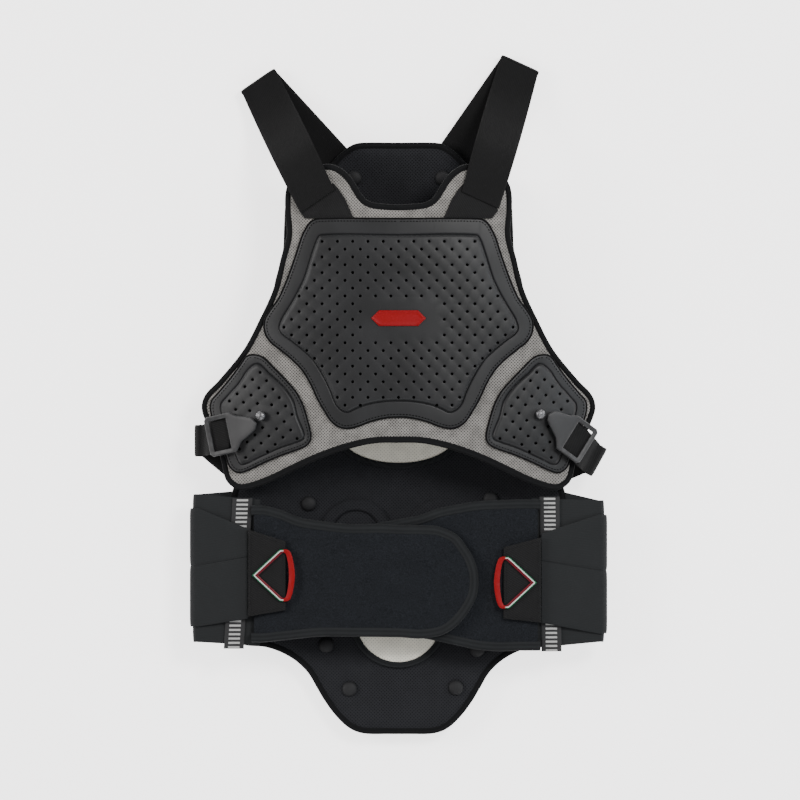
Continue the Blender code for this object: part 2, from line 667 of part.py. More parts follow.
def make_back():
    """The padded back panel, its binding, plates, rivets, windows and lumbar pads."""
    corners = mirrored(BACK_OUTLINE, BACK_HALF_WIDTH, BACK_LENGTH, BACK_TOP)
    outline = smooth_loop(corners, EDGE_STEP)
    padded_panel(
        "back_panel", "back", outline, BACK_MIDDLE, BACK_THICKNESS,
        BACK_BINDING_WIDTH, BACK_BINDING_WIDTH, ("black_mesh", "binding_tape"),
    )
    plates = (
        ("back_plate_upper", UPPER_PLATE_OUTLINE, UPPER_PLATE_HALF_WIDTH, UPPER_PLATE_LENGTH,
         UPPER_PLATE_TOP, LEVEL_LOW),
        ("back_plate_lower", LOWER_PLATE_OUTLINE, LOWER_PLATE_HALF_WIDTH, LOWER_PLATE_LENGTH,
         LOWER_PLATE_TOP, LEVEL_HIGH),
        ("back_plate_tail", TAIL_PLATE_OUTLINE, TAIL_PLATE_HALF_WIDTH, TAIL_PLATE_LENGTH,
         TAIL_PLATE_TOP, LEVEL_LOW),
    )
    for name, rows, half_width, length, top, level in plates:
        loop = smooth_loop(mirrored(rows, half_width, length, top), EDGE_STEP)
        sheet(name, "back", [loop], [1.0], level, BACK_PLATE_THICKNESS, 1, "hard_plastic")
    make_rivets()
    make_windows()
    for side, name in ((-1, "lumbar_pad_left"), (1, "lumbar_pad_right")):
        centre = Vector((side * LUMBAR_PAD_OFFSET, LUMBAR_PAD_CENTRE))
        radii = (LUMBAR_PAD_RADIUS, LUMBAR_PAD_RADIUS * LUMBAR_PAD_FACE_SHARE)
        loops = [ring_loop(centre, radius, radius) for radius in radii]
        shares = [LUMBAR_PAD_RIM_SHARE, 1.0]
        sheet(name, "back", loops, shares, BACK_FACE, LUMBAR_PAD_THICKNESS, 1, "black_mesh")


def ring_loop(centre, half_width, half_height):
    """An ellipse around a centre."""
    count = max(16, round(math.tau * half_width / EDGE_STEP))
    angles = [math.tau * index / count for index in range(count)]
    return [
        centre + Vector((half_width * math.cos(angle), half_height * math.sin(angle))) for angle in angles
    ]


def make_rivets():
    """Domed rivets through the back panel and the plates under it."""
    stack = 2 * (BACK_PLATE_THICKNESS + LAYER_GAP) + BACK_THICKNESS + LAYER_GAP
    shank = stack - BACK_PLATE_THICKNESS / 4
    profile = [(0.0, RIVET_HEAD_HEIGHT)]
    for angle in (35, 68):
        turn = math.radians(angle)
        profile.append((RIVET_HEAD_RADIUS * math.sin(turn), RIVET_HEAD_HEIGHT * math.cos(turn)))
    profile += [(RIVET_HEAD_RADIUS, 0.0), (RIVET_SHANK_RADIUS, 0.0)]
    profile += [(RIVET_SHANK_RADIUS, -shank), (0.0, -shank)]
    for name, place in RIVETS.items():
        point = on_back(place)
        matrix = lying_on(BACK_FACE, point, 0.0)
        rivet = turned(name, profile, 10, "rivet_black")
        rivet.matrix_world = matrix
        for panel in ("back_panel", "back_plate_upper", "back_plate_lower", "back_plate_tail"):
            reaches = {
                "back_panel": True,
                "back_plate_upper": point.y > UPPER_PLATE_TOP - UPPER_PLATE_LENGTH,
                "back_plate_lower": LOWER_PLATE_TOP > point.y > LOWER_PLATE_TOP - LOWER_PLATE_LENGTH,
                "back_plate_tail": point.y < TAIL_PLATE_TOP,
            }
            if reaches[panel]:
                cutter = cylinder_cutter(
                    f"{name}_{panel}_hole", RIVET_SHANK_RADIUS + PIECE_GAP, 4 * stack, matrix
                )
                cut(bpy.data.objects[panel], cutter)


def make_windows():
    """Light mesh windows in the back panel, each held by a flat ring."""
    windows = (
        ("window_upper", WINDOW_CENTRE, WINDOW_HALF_WIDTH, WINDOW_HALF_HEIGHT),
        ("window_lower", LOW_WINDOW_CENTRE, LOW_WINDOW_RADIUS, LOW_WINDOW_RADIUS),
    )
    for name, level, half_width, half_height in windows:
        centre = Vector((0.0, level))
        outer = ring_loop(centre, half_width, half_height)
        hole = inset(outer, WINDOW_RING_WIDTH)
        sheet(
            name + "_ring", "back", [outer, hole], [1.0, 1.0], BACK_FACE, WINDOW_RING_THICKNESS, 1,
            "binding_tape", hollow=True,
        )
        pane = inset(hole, PIECE_GAP)
        sheet(name, "back", [pane], [1.0], BACK_FACE, WINDOW_THICKNESS, 1, "light_mesh")


def relief_plate(name, outer, field, thickness, flange):
    """A moulded plate with a sunk line around its raised field."""
    share = flange / thickness
    loops = [outer, inset(outer, PLATE_SLOPE), inset(field, -PLATE_SLOPE), field]
    shares = [share / 2, share, share, 1.0]
    sheet(name, "chest", loops, shares, CHEST_FACE, thickness, 1, "hard_plastic")


def make_chest():
    """The arched chest panel, its binding, three moulded plates and the badge."""
    corners = mirrored(CHEST_OUTLINE, CHEST_HALF_WIDTH, CHEST_LENGTH, CHEST_TOP)
    outline = smooth_loop(corners, EDGE_STEP)
    padded_panel(
        "chest_panel", "chest", outline, chest_middle, CHEST_THICKNESS,
        CHEST_BINDING_WIDTH, CHEST_BINDING_WIDTH, ("silver_mesh", "binding_tape"),
    )
    outer = smooth_loop(mirrored(PLATE_OUTLINE, PLATE_HALF_WIDTH, PLATE_LENGTH, PLATE_TOP), FINE_STEP)
    field = smooth_loop(mirrored(PLATE_FIELD, PLATE_HALF_WIDTH, PLATE_LENGTH, PLATE_TOP), FINE_STEP)
    relief_plate("chest_plate", outer, field, PLATE_THICKNESS, PLATE_FLANGE)
    for side, name in ((-1, "flank_plate_left"), (1, "flank_plate_right")):
        loops = []
        for rows in (FLANK_OUTLINE, FLANK_FIELD):
            corners = [
                (side * (FLANK_INNER + x * FLANK_WIDTH), FLANK_TOP - y * FLANK_LENGTH) for x, y in rows
            ]
            loops.append(smooth_loop(corners, FINE_STEP))
        relief_plate(name, *loops, FLANK_THICKNESS, PLATE_FLANGE)
    make_badge()
    for side, name in ((-1, "strap_patch_left"), (1, "strap_patch_right")):
        loop = [
            Vector((side * (PATCH_INNER + x * PATCH_WIDTH), PATCH_BASE + y * PATCH_LENGTH))
            for x, y in PATCH_OUTLINE
        ]
        sheet(name, "chest", [loop], [1.0], CHEST_FACE, PATCH_THICKNESS, 1, "webbing")


def make_badge():
    """A plain raised bar with pointed ends in the middle of the chest plate."""
    half_width, half_height = BADGE_HALF_WIDTH, BADGE_HALF_HEIGHT
    shoulder = half_width - half_height
    corners = (
        (half_width, 0.0), (shoulder, half_height), (-shoulder, half_height),
        (-half_width, 0.0), (-shoulder, -half_height), (shoulder, -half_height),
    )
    loop = [Vector((x, y + BADGE_CENTRE)) for x, y in corners]
    surface = above(CHEST_FACE, PLATE_THICKNESS + LAYER_GAP)
    loops = [loop, inset(loop, BADGE_THICKNESS)]
    sheet("chest_badge", "chest", loops, [0.5, 1.0], surface, BADGE_THICKNESS, 1, "red_rubber")


def folded_sections(strap, width, radius, faces, fold_level, held):
    """Sections of a strap that runs out from its anchor, folds over and runs back.

    It follows the first face for the held share of its way, then falls or rises to the
    fold, and runs back on to the second face.
    """
    face, tail_face = faces
    anchor, fold, tail = (on_back(place) for place in (strap.anchor, strap.fold, strap.tail))
    line = Vector((math.cos(math.radians(strap.fold_line)), math.sin(math.radians(strap.fold_line))))
    out = (fold - anchor).normalized()
    across = Vector((-out.y, out.x))
    half = line * (width / 2 / abs(line.dot(across)))
    outward = Vector((-line.y, line.x))
    outward *= 1.0 if outward.dot(out) > 0 else -1.0
    bend = fold - outward * radius
    sections = []
    steps = 8
    for step in range(steps + 1):
        share = step / steps
        reach = half * (1 + STRAP_SWELL * math.sin(math.pi * share))
        middle = anchor.lerp(bend, share)
        free = ease((share - held) / (1 - held))
        pair = []
        for point in (middle - reach, middle + reach):
            height = face(point.x, point.y) * (1 - free) + (fold_level + radius) * free
            pair.append(Vector((point.x, point.y, height)))
        sections.append(pair)
    for angle in (60, 30, 0, -30, -60):
        turn = math.radians(angle)
        middle = bend + outward * (radius * math.cos(turn))
        height = fold_level + radius * math.sin(turn)
        sections.append([Vector((*(middle - half), height)), Vector((*(middle + half), height))])
    steps = 5
    for step in range(steps + 1):
        share = step / steps
        middle = bend.lerp(tail, share)
        seated = ease(share / TAIL_SEATED_SHARE)
        pair = []
        for point in (middle - half, middle + half):
            height = (fold_level - radius) * (1 - seated) + tail_face(point.x, point.y) * seated
            pair.append(Vector((point.x, point.y, height)))
        sections.append(pair)
    return sections


def make_straps():
    """Shoulder straps, folded at the top and run back under the back panel's neck."""
    for strap in SHOULDER_STRAPS:
        sections = folded_sections(
            strap, STRAP_WIDTH, STRAP_FOLD_RADIUS, (STRAP_FACE, STRAP_TAIL_FACE), STRAP_FOLD_HEIGHT,
            STRAP_ANCHOR_SHARE,
        )
        ribbon(strap.name, sections, STRAP_THICKNESS, "elastic")


def make_side_straps():
    """Side straps from the buckles, folded at the sides and run back under the waist."""
    for strap in SIDE_STRAPS:
        fold = on_back(strap.fold)
        sections = folded_sections(
            strap, WEBBING_WIDTH, WEBBING_FOLD_RADIUS, (WEBBING_FACE, WEBBING_TAIL_FACE),
            chest_middle(fold.x, fold.y), WEBBING_ANCHOR_SHARE,
        )
        ribbon(strap.name, sections, WEBBING_THICKNESS, "webbing")
        make_buckle(strap)
    for name, place in STUDS.items():
        point = on_back(place)
        profile = [(0.0, STUD_HEIGHT)]
        for angle in (30, 60, 85):
            turn = math.radians(angle)
            drop = STUD_RADIUS * STUD_NECK_SHARE * (1 - math.cos(turn))
            profile.append((STUD_RADIUS * math.sin(turn), STUD_HEIGHT - drop))
        profile += [(STUD_RADIUS * STUD_NECK_SHARE, 0.0), (0.0, 0.0)]
        stud = turned(name, profile, 14, "rivet_metal")
        stud.matrix_world = lying_on(FLANK_FACE, point, 0.0)


def make_buckle(strap):
    """A flat buckle: a strap frame and the tongue that hooks on to the stud."""
    side = -1 if strap.name.endswith("left") else 1
    half_length, half_depth = BUCKLE_LENGTH / 2, BUCKLE_DEPTH / 2
    corner = BUCKLE_BAR / 2
    frame = [
        (-half_depth, half_length - corner), (-half_depth, corner - half_length),
        (corner - half_depth, -half_length), (half_depth - corner, -half_length),
    ]
    tongue = [(half_depth + x * TONGUE_REACH, y * half_length) for x, y in TONGUE_OUTLINE]
    back = [(half_depth - corner, half_length), (corner - half_depth, half_length)]
    inner_length, inner_depth = half_length - BUCKLE_BAR, half_depth - BUCKLE_BAR
    window = [
        (-inner_depth, -inner_length), (-inner_depth, inner_length), (inner_depth, inner_length),
        (inner_depth, -inner_length),
    ]
    name = "buckle_left" if side < 0 else "buckle_right"
    curve = bpy.data.curves.new(name, "CURVE")
    curve.dimensions = "2D"
    curve.fill_mode = "BOTH"
    curve.extrude = BUCKLE_THICKNESS / 2
    for corners in (frame + tongue + back, window):
        spline = curve.splines.new("POLY")
        spline.points.add(len(corners) - 1)
        for index, (x, y) in enumerate(corners):
            spline.points[index].co = (-side * x, -y, 0.0, 1.0)
        spline.use_cyclic_u = True
    outline = bpy.data.objects.new(name + "_outline", curve)
    GUIDES.objects.link(outline)
    bpy.context.view_layer.update()
    evaluated = outline.evaluated_get(bpy.context.evaluated_depsgraph_get())
    mesh = bpy.data.meshes.new_from_object(evaluated)
    bpy.data.objects.remove(outline)
    build = bmesh.new()
    build.from_mesh(mesh)
    bmesh.ops.remove_doubles(build, verts=build.verts[:], dist=0.00001)
    bmesh.ops.recalc_face_normals(build, faces=build.faces[:])
    build.to_mesh(mesh)
    build.free()
    piece = add(name, mesh, "buckle_plastic", smooth=False)
    piece.matrix_world = lying_on(BUCKLE_FACE, on_back(strap.buckle), -strap.turn)


def belt_point(across, down):
    """A point of the belt from its shares of the half width and height."""
    return Vector((across * BELT_HALF_WIDTH, BELT_TOP - down * BELT_HEIGHT))


def over_surface(x, y):
    """Middle of the left belt panel, which climbs over the right one."""
    climb = ease((x / BELT_HALF_WIDTH - CLIMB_START_SHARE) / CLIMB_LENGTH_SHARE)
    return belt_middle(x, y) + BELT_LAP_STEP * climb


def under_surface(x, y):
    """Middle of the right belt panel, which dips under the left one."""
    dip = ease((DIP_START_SHARE - x / BELT_HALF_WIDTH) / DIP_LENGTH_SHARE)
    return belt_middle(x, y) - BELT_LAP_STEP * dip


def side_front(across):
    """Height of the belt's elastic side in front, at a share of the half width."""
    fold = SIDE_FOLD_HEIGHT + SIDE_FOLD_RADIUS
    inner = belt_middle(SIDE_INNER_SHARE * BELT_HALF_WIDTH, 0.0)
    inner -= BELT_BINDING_HEIGHT / 2 + LAYER_GAP + SIDE_THICKNESS / 2
    share = (SIDE_OUTER_SHARE - across) / (SIDE_OUTER_SHARE - SIDE_INNER_SHARE)
    return fold + (inner - fold) * share


def make_belt():
    """Two padded belt panels and, on each side, elastic, tape, bands, tab and pull."""
    surfaces = {-1: over_surface, 1: under_surface}
    outlines = {-1: BELT_OVER_OUTLINE, 1: BELT_UNDER_OUTLINE}
    heights = {-1: OVER_HEIGHT_SHARE, 1: 1.0}
    tops = {-1: OVER_TOP_SHARE, 1: UNDER_TOP_SHARE}
    for side in BELT_SIDES:
        end, nose = side.sign * side.panel_end, side.sign * side.nose
        corners = [
            belt_point(end + (nose - end) * x, tops[side.sign] + y * heights[side.sign])
            for x, y in outlines[side.sign]
        ]
        padded_panel(
            "belt_panel_" + side.name, "belt", smooth_loop(corners, EDGE_STEP), surfaces[side.sign],
            BELT_THICKNESS, BELT_BINDING_WIDTH, BELT_BINDING_HEIGHT, ("loop_fabric", "binding_tape"),
        )
        make_belt_side(side)
        make_tab(side, surfaces[side.sign])


def side_sections(side, front, layer, rise, edges, tail):
    """Sections of an elastic that runs out from the belt front, folds and runs back.

    The layer is how far it lies outside the innermost elastic, the rise lifts its front
    end, edges holds its two edges at the front and at the fold, and tail is the share
    of the half width and the height of its back end.
    """
    front_edges, fold_edges = edges
    radius = SIDE_FOLD_RADIUS + layer
    bend = BELT_HALF_WIDTH - SIDE_FOLD_RADIUS - SIDE_THICKNESS / 2
    sign = side.sign

    def section(x, height, down):
        return [
            Vector((sign * x, BELT_TOP - down[0] * BELT_HEIGHT, height)),
            Vector((sign * x, BELT_TOP - down[1] * BELT_HEIGHT, height)),
        ]

    sections = []
    steps = 3
    start_height = side_front(front) + layer + rise
    for step in range(steps + 1):
        share = step / steps
        x = front * BELT_HALF_WIDTH * (1 - share) + bend * share
        height = start_height * (1 - share) + (SIDE_FOLD_HEIGHT + radius) * share
        down = [a * (1 - share) + b * share for a, b in zip(front_edges, fold_edges)]
        sections.append(section(x, height, down))
    for angle in (54, 18, -18, -54, -90):
        turn = math.radians(angle)
        height = SIDE_FOLD_HEIGHT + radius * math.sin(turn)
        sections.append(section(bend + radius * math.cos(turn), height, fold_edges))
    tail_x, tail_height = tail
    for share in (0.5, 1.0):
        x = bend * (1 - share) + tail_x * share
        height = (SIDE_FOLD_HEIGHT - radius) * (1 - share) + tail_height * share
        sections.append(section(x, height, fold_edges))
    return sections


def make_belt_side(side):
    """The elastic side, the reflective tape on it and the two tension bands over it."""
    wing = BACK_HALF_WIDTH + EDGE_GAP
    level = BELT_TOP - BELT_HEIGHT / 2
    base = side_sections(
        side, side.panel_end - SIDE_TUCK_SHARE, 0.0, 0.0, (side.base_inner, side.base_fold),
        (wing, BACK_MIDDLE(wing, level)),
    )
    ribbon("belt_side_" + side.name, base, SIDE_THICKNESS, "elastic")
    tape = []
    steps = 6
    lift = SIDE_THICKNESS / 2 + LAYER_GAP + TAPE_THICKNESS / 2
    half = TAPE_WIDTH / 2 / BELT_HALF_WIDTH
    for step in range(steps + 1):
        share = step / steps
        across = side.tape_top * (1 - share) + side.tape_foot * share
        reach = side.base_inner[1] - side.base_inner[0] + TAPE_SPARE_SHARE
        down = side.base_inner[0] - TAPE_START_SHARE + reach * share
        pair = []
        for edge in (across - half, across + half):
            point = belt_point(side.sign * edge, down)
            pair.append(Vector((point.x, point.y, side_front(edge) + lift)))
        tape.append(pair)
    ribbon("tape_" + side.name, tape, TAPE_THICKNESS, "reflective_tape")
    layer = SIDE_THICKNESS + LAYER_GAP
    tail_x = BACK_HALF_WIDTH - 2 * BACK_BINDING_WIDTH
    tail = (tail_x, BACK_UNDER(tail_x, level) - LAYER_GAP - SIDE_THICKNESS)
    seam = PIECE_GAP / BELT_HEIGHT
    top_in, seam_in, foot_in = side.band_inner
    top_out, seam_out, foot_out = side.band_fold
    bands = (
        ("band_upper_", (top_in, seam_in - seam), (top_out, seam_out - seam)),
        ("band_lower_", (seam_in + seam, foot_in), (seam_out + seam, foot_out)),
    )
    for prefix, inner, fold in bands:
        rise = TAPE_THICKNESS + BELT_BINDING_HEIGHT / 2
        sections = side_sections(side, side.tab_root, layer, rise, (inner, fold), tail)
        ribbon(prefix + side.name, sections, SIDE_THICKNESS, "elastic")


def make_tab(side, surface):
    """The pull tab that closes on the belt panel, with its moulded pull frame."""
    root = side.tab_root - PIECE_GAP / BELT_HALF_WIDTH
    corners = (
        (root, side.tab_root_ends[0]), (side.tab_tip, side.tab_tip_ends[0]),
        (side.tab_tip, side.tab_tip_ends[1]), (root, side.tab_root_ends[1]),
    )
    loop = [belt_point(side.sign * across, down) for across, down in corners]
    seat = above(surface, BELT_BINDING_HEIGHT / 2 + LAYER_GAP)
    sheet("pull_tab_" + side.name, "belt", [loop], [1.0], seat, TAB_THICKNESS, 1, "webbing")
    point = belt_point(side.sign * side.pull_point, side.pull_level)
    face = above(seat, TAB_THICKNESS + LAYER_GAP)
    loops = []
    for rows in (PULL_OUTLINE, PULL_HOLE):
        upper = [(x, y) for x, y in rows]
        lower = [(x, -y) for x, y in reversed(rows[1:-1])]
        corners = [
            (point.x - side.sign * x * PULL_LENGTH, point.y + y * PULL_HALF_HEIGHT) for x, y in upper + lower
        ]
        loops.append(smooth_loop(corners, FINE_STEP))
    name = "pull_frame_" + side.name
    sheet(name, "belt", loops, [1.0, 1.0], face, PULL_THICKNESS, 1, "red_rubber", hollow=True)


for leftover in list(bpy.data.objects):
    bpy.data.objects.remove(leftover)
PROTECTOR = collection("body_protector")
CUTTERS = collection("cutters")
GUIDES = collection("guides")
make_back()
make_chest()
make_straps()
make_side_straps()
make_belt()
bpy.context.view_layer.update()
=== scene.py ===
# %% [markdown]
# # A body protector, dressed for the studio
# The part is a back and chest guard that lies on its back: a padded mesh back panel,
# an arched chest panel with three moulded plates, folded elastic straps and a belt.
# Its solids were packed before. This script loads them, stands a studio round them,
# and replaces nearly every solid with a finer piece in the same place.

import json
import math
from collections import namedtuple

import bpy
import numpy as np
from mathutils import Matrix, Vector
from mathutils.geometry import delaunay_2d_cdt

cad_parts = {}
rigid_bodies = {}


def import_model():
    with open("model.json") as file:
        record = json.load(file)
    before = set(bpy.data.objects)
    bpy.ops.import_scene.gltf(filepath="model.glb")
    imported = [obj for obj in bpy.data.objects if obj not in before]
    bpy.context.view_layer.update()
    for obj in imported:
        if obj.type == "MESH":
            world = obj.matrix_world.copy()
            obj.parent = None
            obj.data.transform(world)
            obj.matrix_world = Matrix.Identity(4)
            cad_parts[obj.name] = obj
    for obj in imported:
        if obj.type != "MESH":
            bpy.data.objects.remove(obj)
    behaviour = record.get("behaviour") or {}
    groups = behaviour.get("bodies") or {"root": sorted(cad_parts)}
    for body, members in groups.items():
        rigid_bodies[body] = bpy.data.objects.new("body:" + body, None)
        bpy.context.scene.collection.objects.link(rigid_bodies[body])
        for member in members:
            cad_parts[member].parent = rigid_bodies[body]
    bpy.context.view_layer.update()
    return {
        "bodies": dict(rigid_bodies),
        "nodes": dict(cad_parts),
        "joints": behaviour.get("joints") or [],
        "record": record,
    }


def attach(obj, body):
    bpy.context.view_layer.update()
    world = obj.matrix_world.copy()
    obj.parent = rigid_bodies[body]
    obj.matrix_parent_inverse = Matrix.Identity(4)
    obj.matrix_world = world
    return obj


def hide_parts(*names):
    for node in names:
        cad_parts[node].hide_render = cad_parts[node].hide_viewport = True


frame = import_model()

# %% [markdown]
# ## Studio
# The protector was photographed straight from above with a long lens, so the picture
# hardly shows perspective. The camera stands 16 m over the floor and looks down, and
# its focal length makes the picture as wide as the stretch of floor that it shows.

# %% Camera
PICTURE_WIDTH = 0.760
PICTURE_CENTRE = (0.0014, -0.0043)
CAMERA_HEIGHT = 16.0

camera_data = bpy.data.cameras.new("studio_camera")
camera_data.sensor_width = 36.0
camera_data.lens = camera_data.sensor_width * CAMERA_HEIGHT / PICTURE_WIDTH
camera_data.clip_end = 50.0
camera = bpy.data.objects.new("studio_camera", camera_data)
camera.location = (*PICTURE_CENTRE, CAMERA_HEIGHT)
bpy.context.scene.collection.objects.link(camera)
bpy.context.scene.camera = camera
print("lens:", round(camera_data.lens, 1), "mm")

# %% [markdown]
# The light is that of a product studio: a pale surround that fills every shadow, a
# large soft lamp at the upper right that throws a faint shadow to the lower left, one
# at the left that gives the moulded plates their sheen, and two weaker ones, at the
# foot and at the right, that keep the edges readable.

# %% Lights and surround
LAMPS = (
    # name, place, size, power, colour
    ("key_lamp", (1.1, 1.0, 2.2), 0.8, 48.0, (1.0, 0.985, 0.97)),
    ("left_lamp", (-1.9, 0.5, 1.3), 1.0, 36.0, (1.0, 0.98, 0.97)),
    ("low_lamp", (0.3, -1.8, 1.6), 1.2, 14.0, (0.95, 0.97, 1.0)),
    ("right_lamp", (2.1, 0.2, 1.2), 0.9, 16.0, (0.86, 0.93, 1.0)),
)
AIM = Vector((0.0, 0.0, 0.04))
for name, place, size, power, colour in LAMPS:
    lamp_data = bpy.data.lights.new(name, "AREA")
    lamp_data.shape = "DISK"
    lamp_data.size = size
    lamp_data.energy = power
    lamp_data.color = colour
    lamp = bpy.data.objects.new(name, lamp_data)
    lamp.location = place
    lamp.rotation_euler = (AIM - lamp.location).to_track_quat("-Z", "Y").to_euler()
    bpy.context.scene.collection.objects.link(lamp)

surround = bpy.data.worlds.new("surround")
surround.use_nodes = True
surround.node_tree.nodes["Background"].inputs["Color"].default_value = (1.0, 0.99, 0.985, 1.0)
surround.node_tree.nodes["Background"].inputs["Strength"].default_value = 0.55
bpy.context.scene.world = surround
print("lamps:", len(LAMPS))

# %% [markdown]
# ## How finishes are written
# A finish is a small network of shader nodes. Two helpers keep it readable. A `Wire`
# wraps the output of a node, and its operators add the Math nodes, so a pattern is
# written like a sum. A `Finish` owns a material, and its method `node` adds any other
# node from its type, its settings and the values of its inputs. Its other methods are
# short words for what the finishes do most.

# %% Wires and finishes
class Wire:
    """An output socket that can be used in sums."""

    def __init__(self, finish, socket):
        self.finish = finish
        self.socket = socket

    def maths(self, operation, *others):
        """A Math node on this wire and the others."""
        values = dict(enumerate((self, *others)))
        return self.finish.node("Math", {"operation": operation}, values)

    def __add__(self, other):
        return self.maths("ADD", other)

    __radd__ = __add__

    def __mul__(self, other):
        return self.maths("MULTIPLY", other)

    __rmul__ = __mul__

    def __sub__(self, other):
        return self.maths("SUBTRACT", other)

    def __rsub__(self, other):
        return (self * -1.0) + other

    def __truediv__(self, other):
        return self.maths("DIVIDE", other)

    def __pow__(self, other):
        return self.maths("POWER", other)

    def fraction(self):
        """The part after the whole number."""
        return self.maths("FRACT")

    def size(self):
        """The value without its sign."""
        return self.maths("ABSOLUTE")

    def rise(self, start, end):
        """0 before the start, 1 after the end, and a soft step between them."""
        settings = {"interpolation_type": "SMOOTHSTEP"}
        return self.finish.node("MapRange", settings, {"Value": self, "From Min": start, "From Max": end})

    def wave(self, length):
        """A ripple from 0 to 1 that repeats after a length."""
        return (self * (math.tau / length)).maths("SINE") * 0.5 + 0.5


class Finish:
    """A material that is built up node by node."""

    def __init__(self, name, **constants):
        self.material = bpy.data.materials.new(name)
        self.material.use_nodes = True
        self.tree = self.material.node_tree
        self.shader = self.tree.nodes["Principled BSDF"]
        self.paint(**constants)

    def node(self, kind, settings=None, inputs=None, output=0):
        """A node from its type, its settings and the values or wires of its inputs."""
        made = self.tree.nodes.new("ShaderNode" + kind)
        for name, value in (settings or {}).items():
            setattr(made, name, value)
        for name, value in (inputs or {}).items():
            self.feed(made.inputs[name], value)
        return Wire(self, made.outputs[output])

    def feed(self, socket, value):
        """Link a wire to a socket, or set its value."""
        if isinstance(value, Wire):
            self.tree.links.new(value.socket, socket)
        elif isinstance(value, tuple) and len(value) == 3 and socket.type == "RGBA":
            socket.default_value = (*value, 1.0)
        else:
            socket.default_value = value

    def paint(self, **sockets):
        """Feed the shader's sockets, named with underscores for spaces."""
        for name, value in sockets.items():
            self.feed(self.shader.inputs[name.replace("_", " ").title().replace("Ior", "IOR")], value)

    def place(self):
        """The wires x, y and z of a point, in metres."""
        point = self.node("TexCoord", output="Object")
        split = self.node("SeparateXYZ", inputs={"Vector": point})
        return [Wire(self, socket) for socket in split.socket.node.outputs]

    def mark(self, name):
        """A value that the mesh code stored on the piece's points."""
        return self.node("Attribute", {"attribute_name": name}, output="Fac")

    def noise(self, size, detail=3.0, stretch=(1.0, 1.0, 1.0)):
        """Cloudy noise from 0 to 1 whose lumps are about a size."""
        point = self.node("TexCoord", output="Object")
        scaled = self.node("VectorMath", {"operation": "MULTIPLY"}, {0: point, 1: stretch})
        return self.node("TexNoise", inputs={"Vector": scaled, "Scale": 1 / size, "Detail": detail})

    def blend(self, factor, first, second):
        """One colour, or another where the factor is 1."""
        return self.node("Mix", {"data_type": "RGBA"}, {0: factor, 6: first, 7: second}, output=2)

    def emboss(self, height, depth):
        """Light the surface as if the height, 0 to 1, stood out by a depth in metres."""
        self.paint(Normal=self.node("Bump", inputs={"Height": height, "Distance": depth, "Strength": 1.0}))


def dots(u, v, pitch, radius, soft):
    """1 on the dots of a staggered grid: the pitch is along each diagonal row."""
    across = (u / pitch).fraction() - 0.5
    along = (v / pitch).fraction() - 0.5
    distance = (across * across + along * along) ** 0.5
    return 1 - distance.rise((radius - soft) / pitch, (radius + soft) / pitch)


FINISHES = {}

# %% [markdown]
# ## Outlines
# Sheets and plates are drawn from above as closed loops and then given their height.
# `smooth_loop` runs a soft curve through a few corners, `inset` moves a loop inwards,
# and two measuring helpers tell how far points lie from a loop and which lie inside.
# They work on whole arrays at once, which keeps meshes of many points quick.

# %% Loops
FINE = 0.0035


def smooth_loop(corners, step=FINE):
    """A closed smooth curve through the corners, with a point about every step."""
    corners = [Vector(corner) for corner in corners]
    count = len(corners)
    loop = []
    for index in range(count):
        before, start, end, after = (corners[(index + turn) % count] for turn in (-1, 0, 1, 2))
        span = (end - start).length
        leave = (end - before).normalized() * span
        arrive = (after - start).normalized() * span
        parts = max(1, round(span / step))
        for part in range(parts):
            t = part / parts
            loop.append(
                start * (2 * t**3 - 3 * t**2 + 1)
                + leave * (t**3 - 2 * t**2 + t)
                + end * (3 * t**2 - 2 * t**3)
                + arrive * (t**3 - t**2)
            )
    return np.array([point[:] for point in loop])


def mirrored(rows, half_width, length, top):
    """Corners of an outline that is the same on both sides of the middle."""
    right = [(x * half_width, top - y * length) for x, y in rows]
    left = [(-x, y) for x, y in reversed(right[1:-1])]
    return right + left


def distance_to(points, loop, closed=True):
    """How far points lie from a loop, and how far along it their nearest places are."""
    starts = loop if closed else loop[:-1]
    ends = np.roll(loop, -1, axis=0) if closed else loop[1:]
    spans = ends - starts
    lengths = np.maximum(np.linalg.norm(spans, axis=1), 1e-9)
    before = np.concatenate(([0.0], np.cumsum(lengths)[:-1]))
    far, along = [], []
    for part in np.array_split(points, max(1, len(points) // 4000)):
        offset = part[:, None, :] - starts[None]
        share = np.clip((offset * spans).sum(2) / lengths**2, 0.0, 1.0)
        gap = np.linalg.norm(offset - share[..., None] * spans, axis=2)
        nearest = gap.argmin(axis=1)
        rows = np.arange(len(part))
        far.append(gap[rows, nearest])
        along.append(before[nearest] + share[rows, nearest] * lengths[nearest])
    return np.concatenate(far), np.concatenate(along)


def inside(points, loop):
    """Which points lie inside a closed loop."""
    found = np.zeros(len(points), dtype=bool)
    for start, end in zip(loop, np.roll(loop, -1, axis=0)):
        if start[1] == end[1]:
            continue
        crosses = (start[1] > points[:, 1]) != (end[1] > points[:, 1])
        at = start[0] + (points[:, 1] - start[1]) * (end[0] - start[0]) / (end[1] - start[1])
        found ^= crosses & (points[:, 0] < at)
    return found


def inset(loop, distance):
    """The loop moved inwards by a distance, without the points that would cross over."""
    ahead = np.roll(loop, -1, axis=0) - np.roll(loop, 1, axis=0)
    ahead /= np.linalg.norm(ahead, axis=1)[:, None]
    moved = loop + np.stack((-ahead[:, 1], ahead[:, 0]), axis=1) * abs(distance) * turning(loop)
    if distance < 0:
        moved = 2 * loop - moved
    gap, _ = distance_to(moved, loop)
    return moved[gap > 0.93 * abs(distance)]


def turning(loop):
    """1 for a loop that runs counter-clockwise, and -1 for the other way."""
    x, y = loop[:, 0], loop[:, 1]
    return 1.0 if (x * np.roll(y, -1) - np.roll(x, -1) * y).sum() > 0 else -1.0


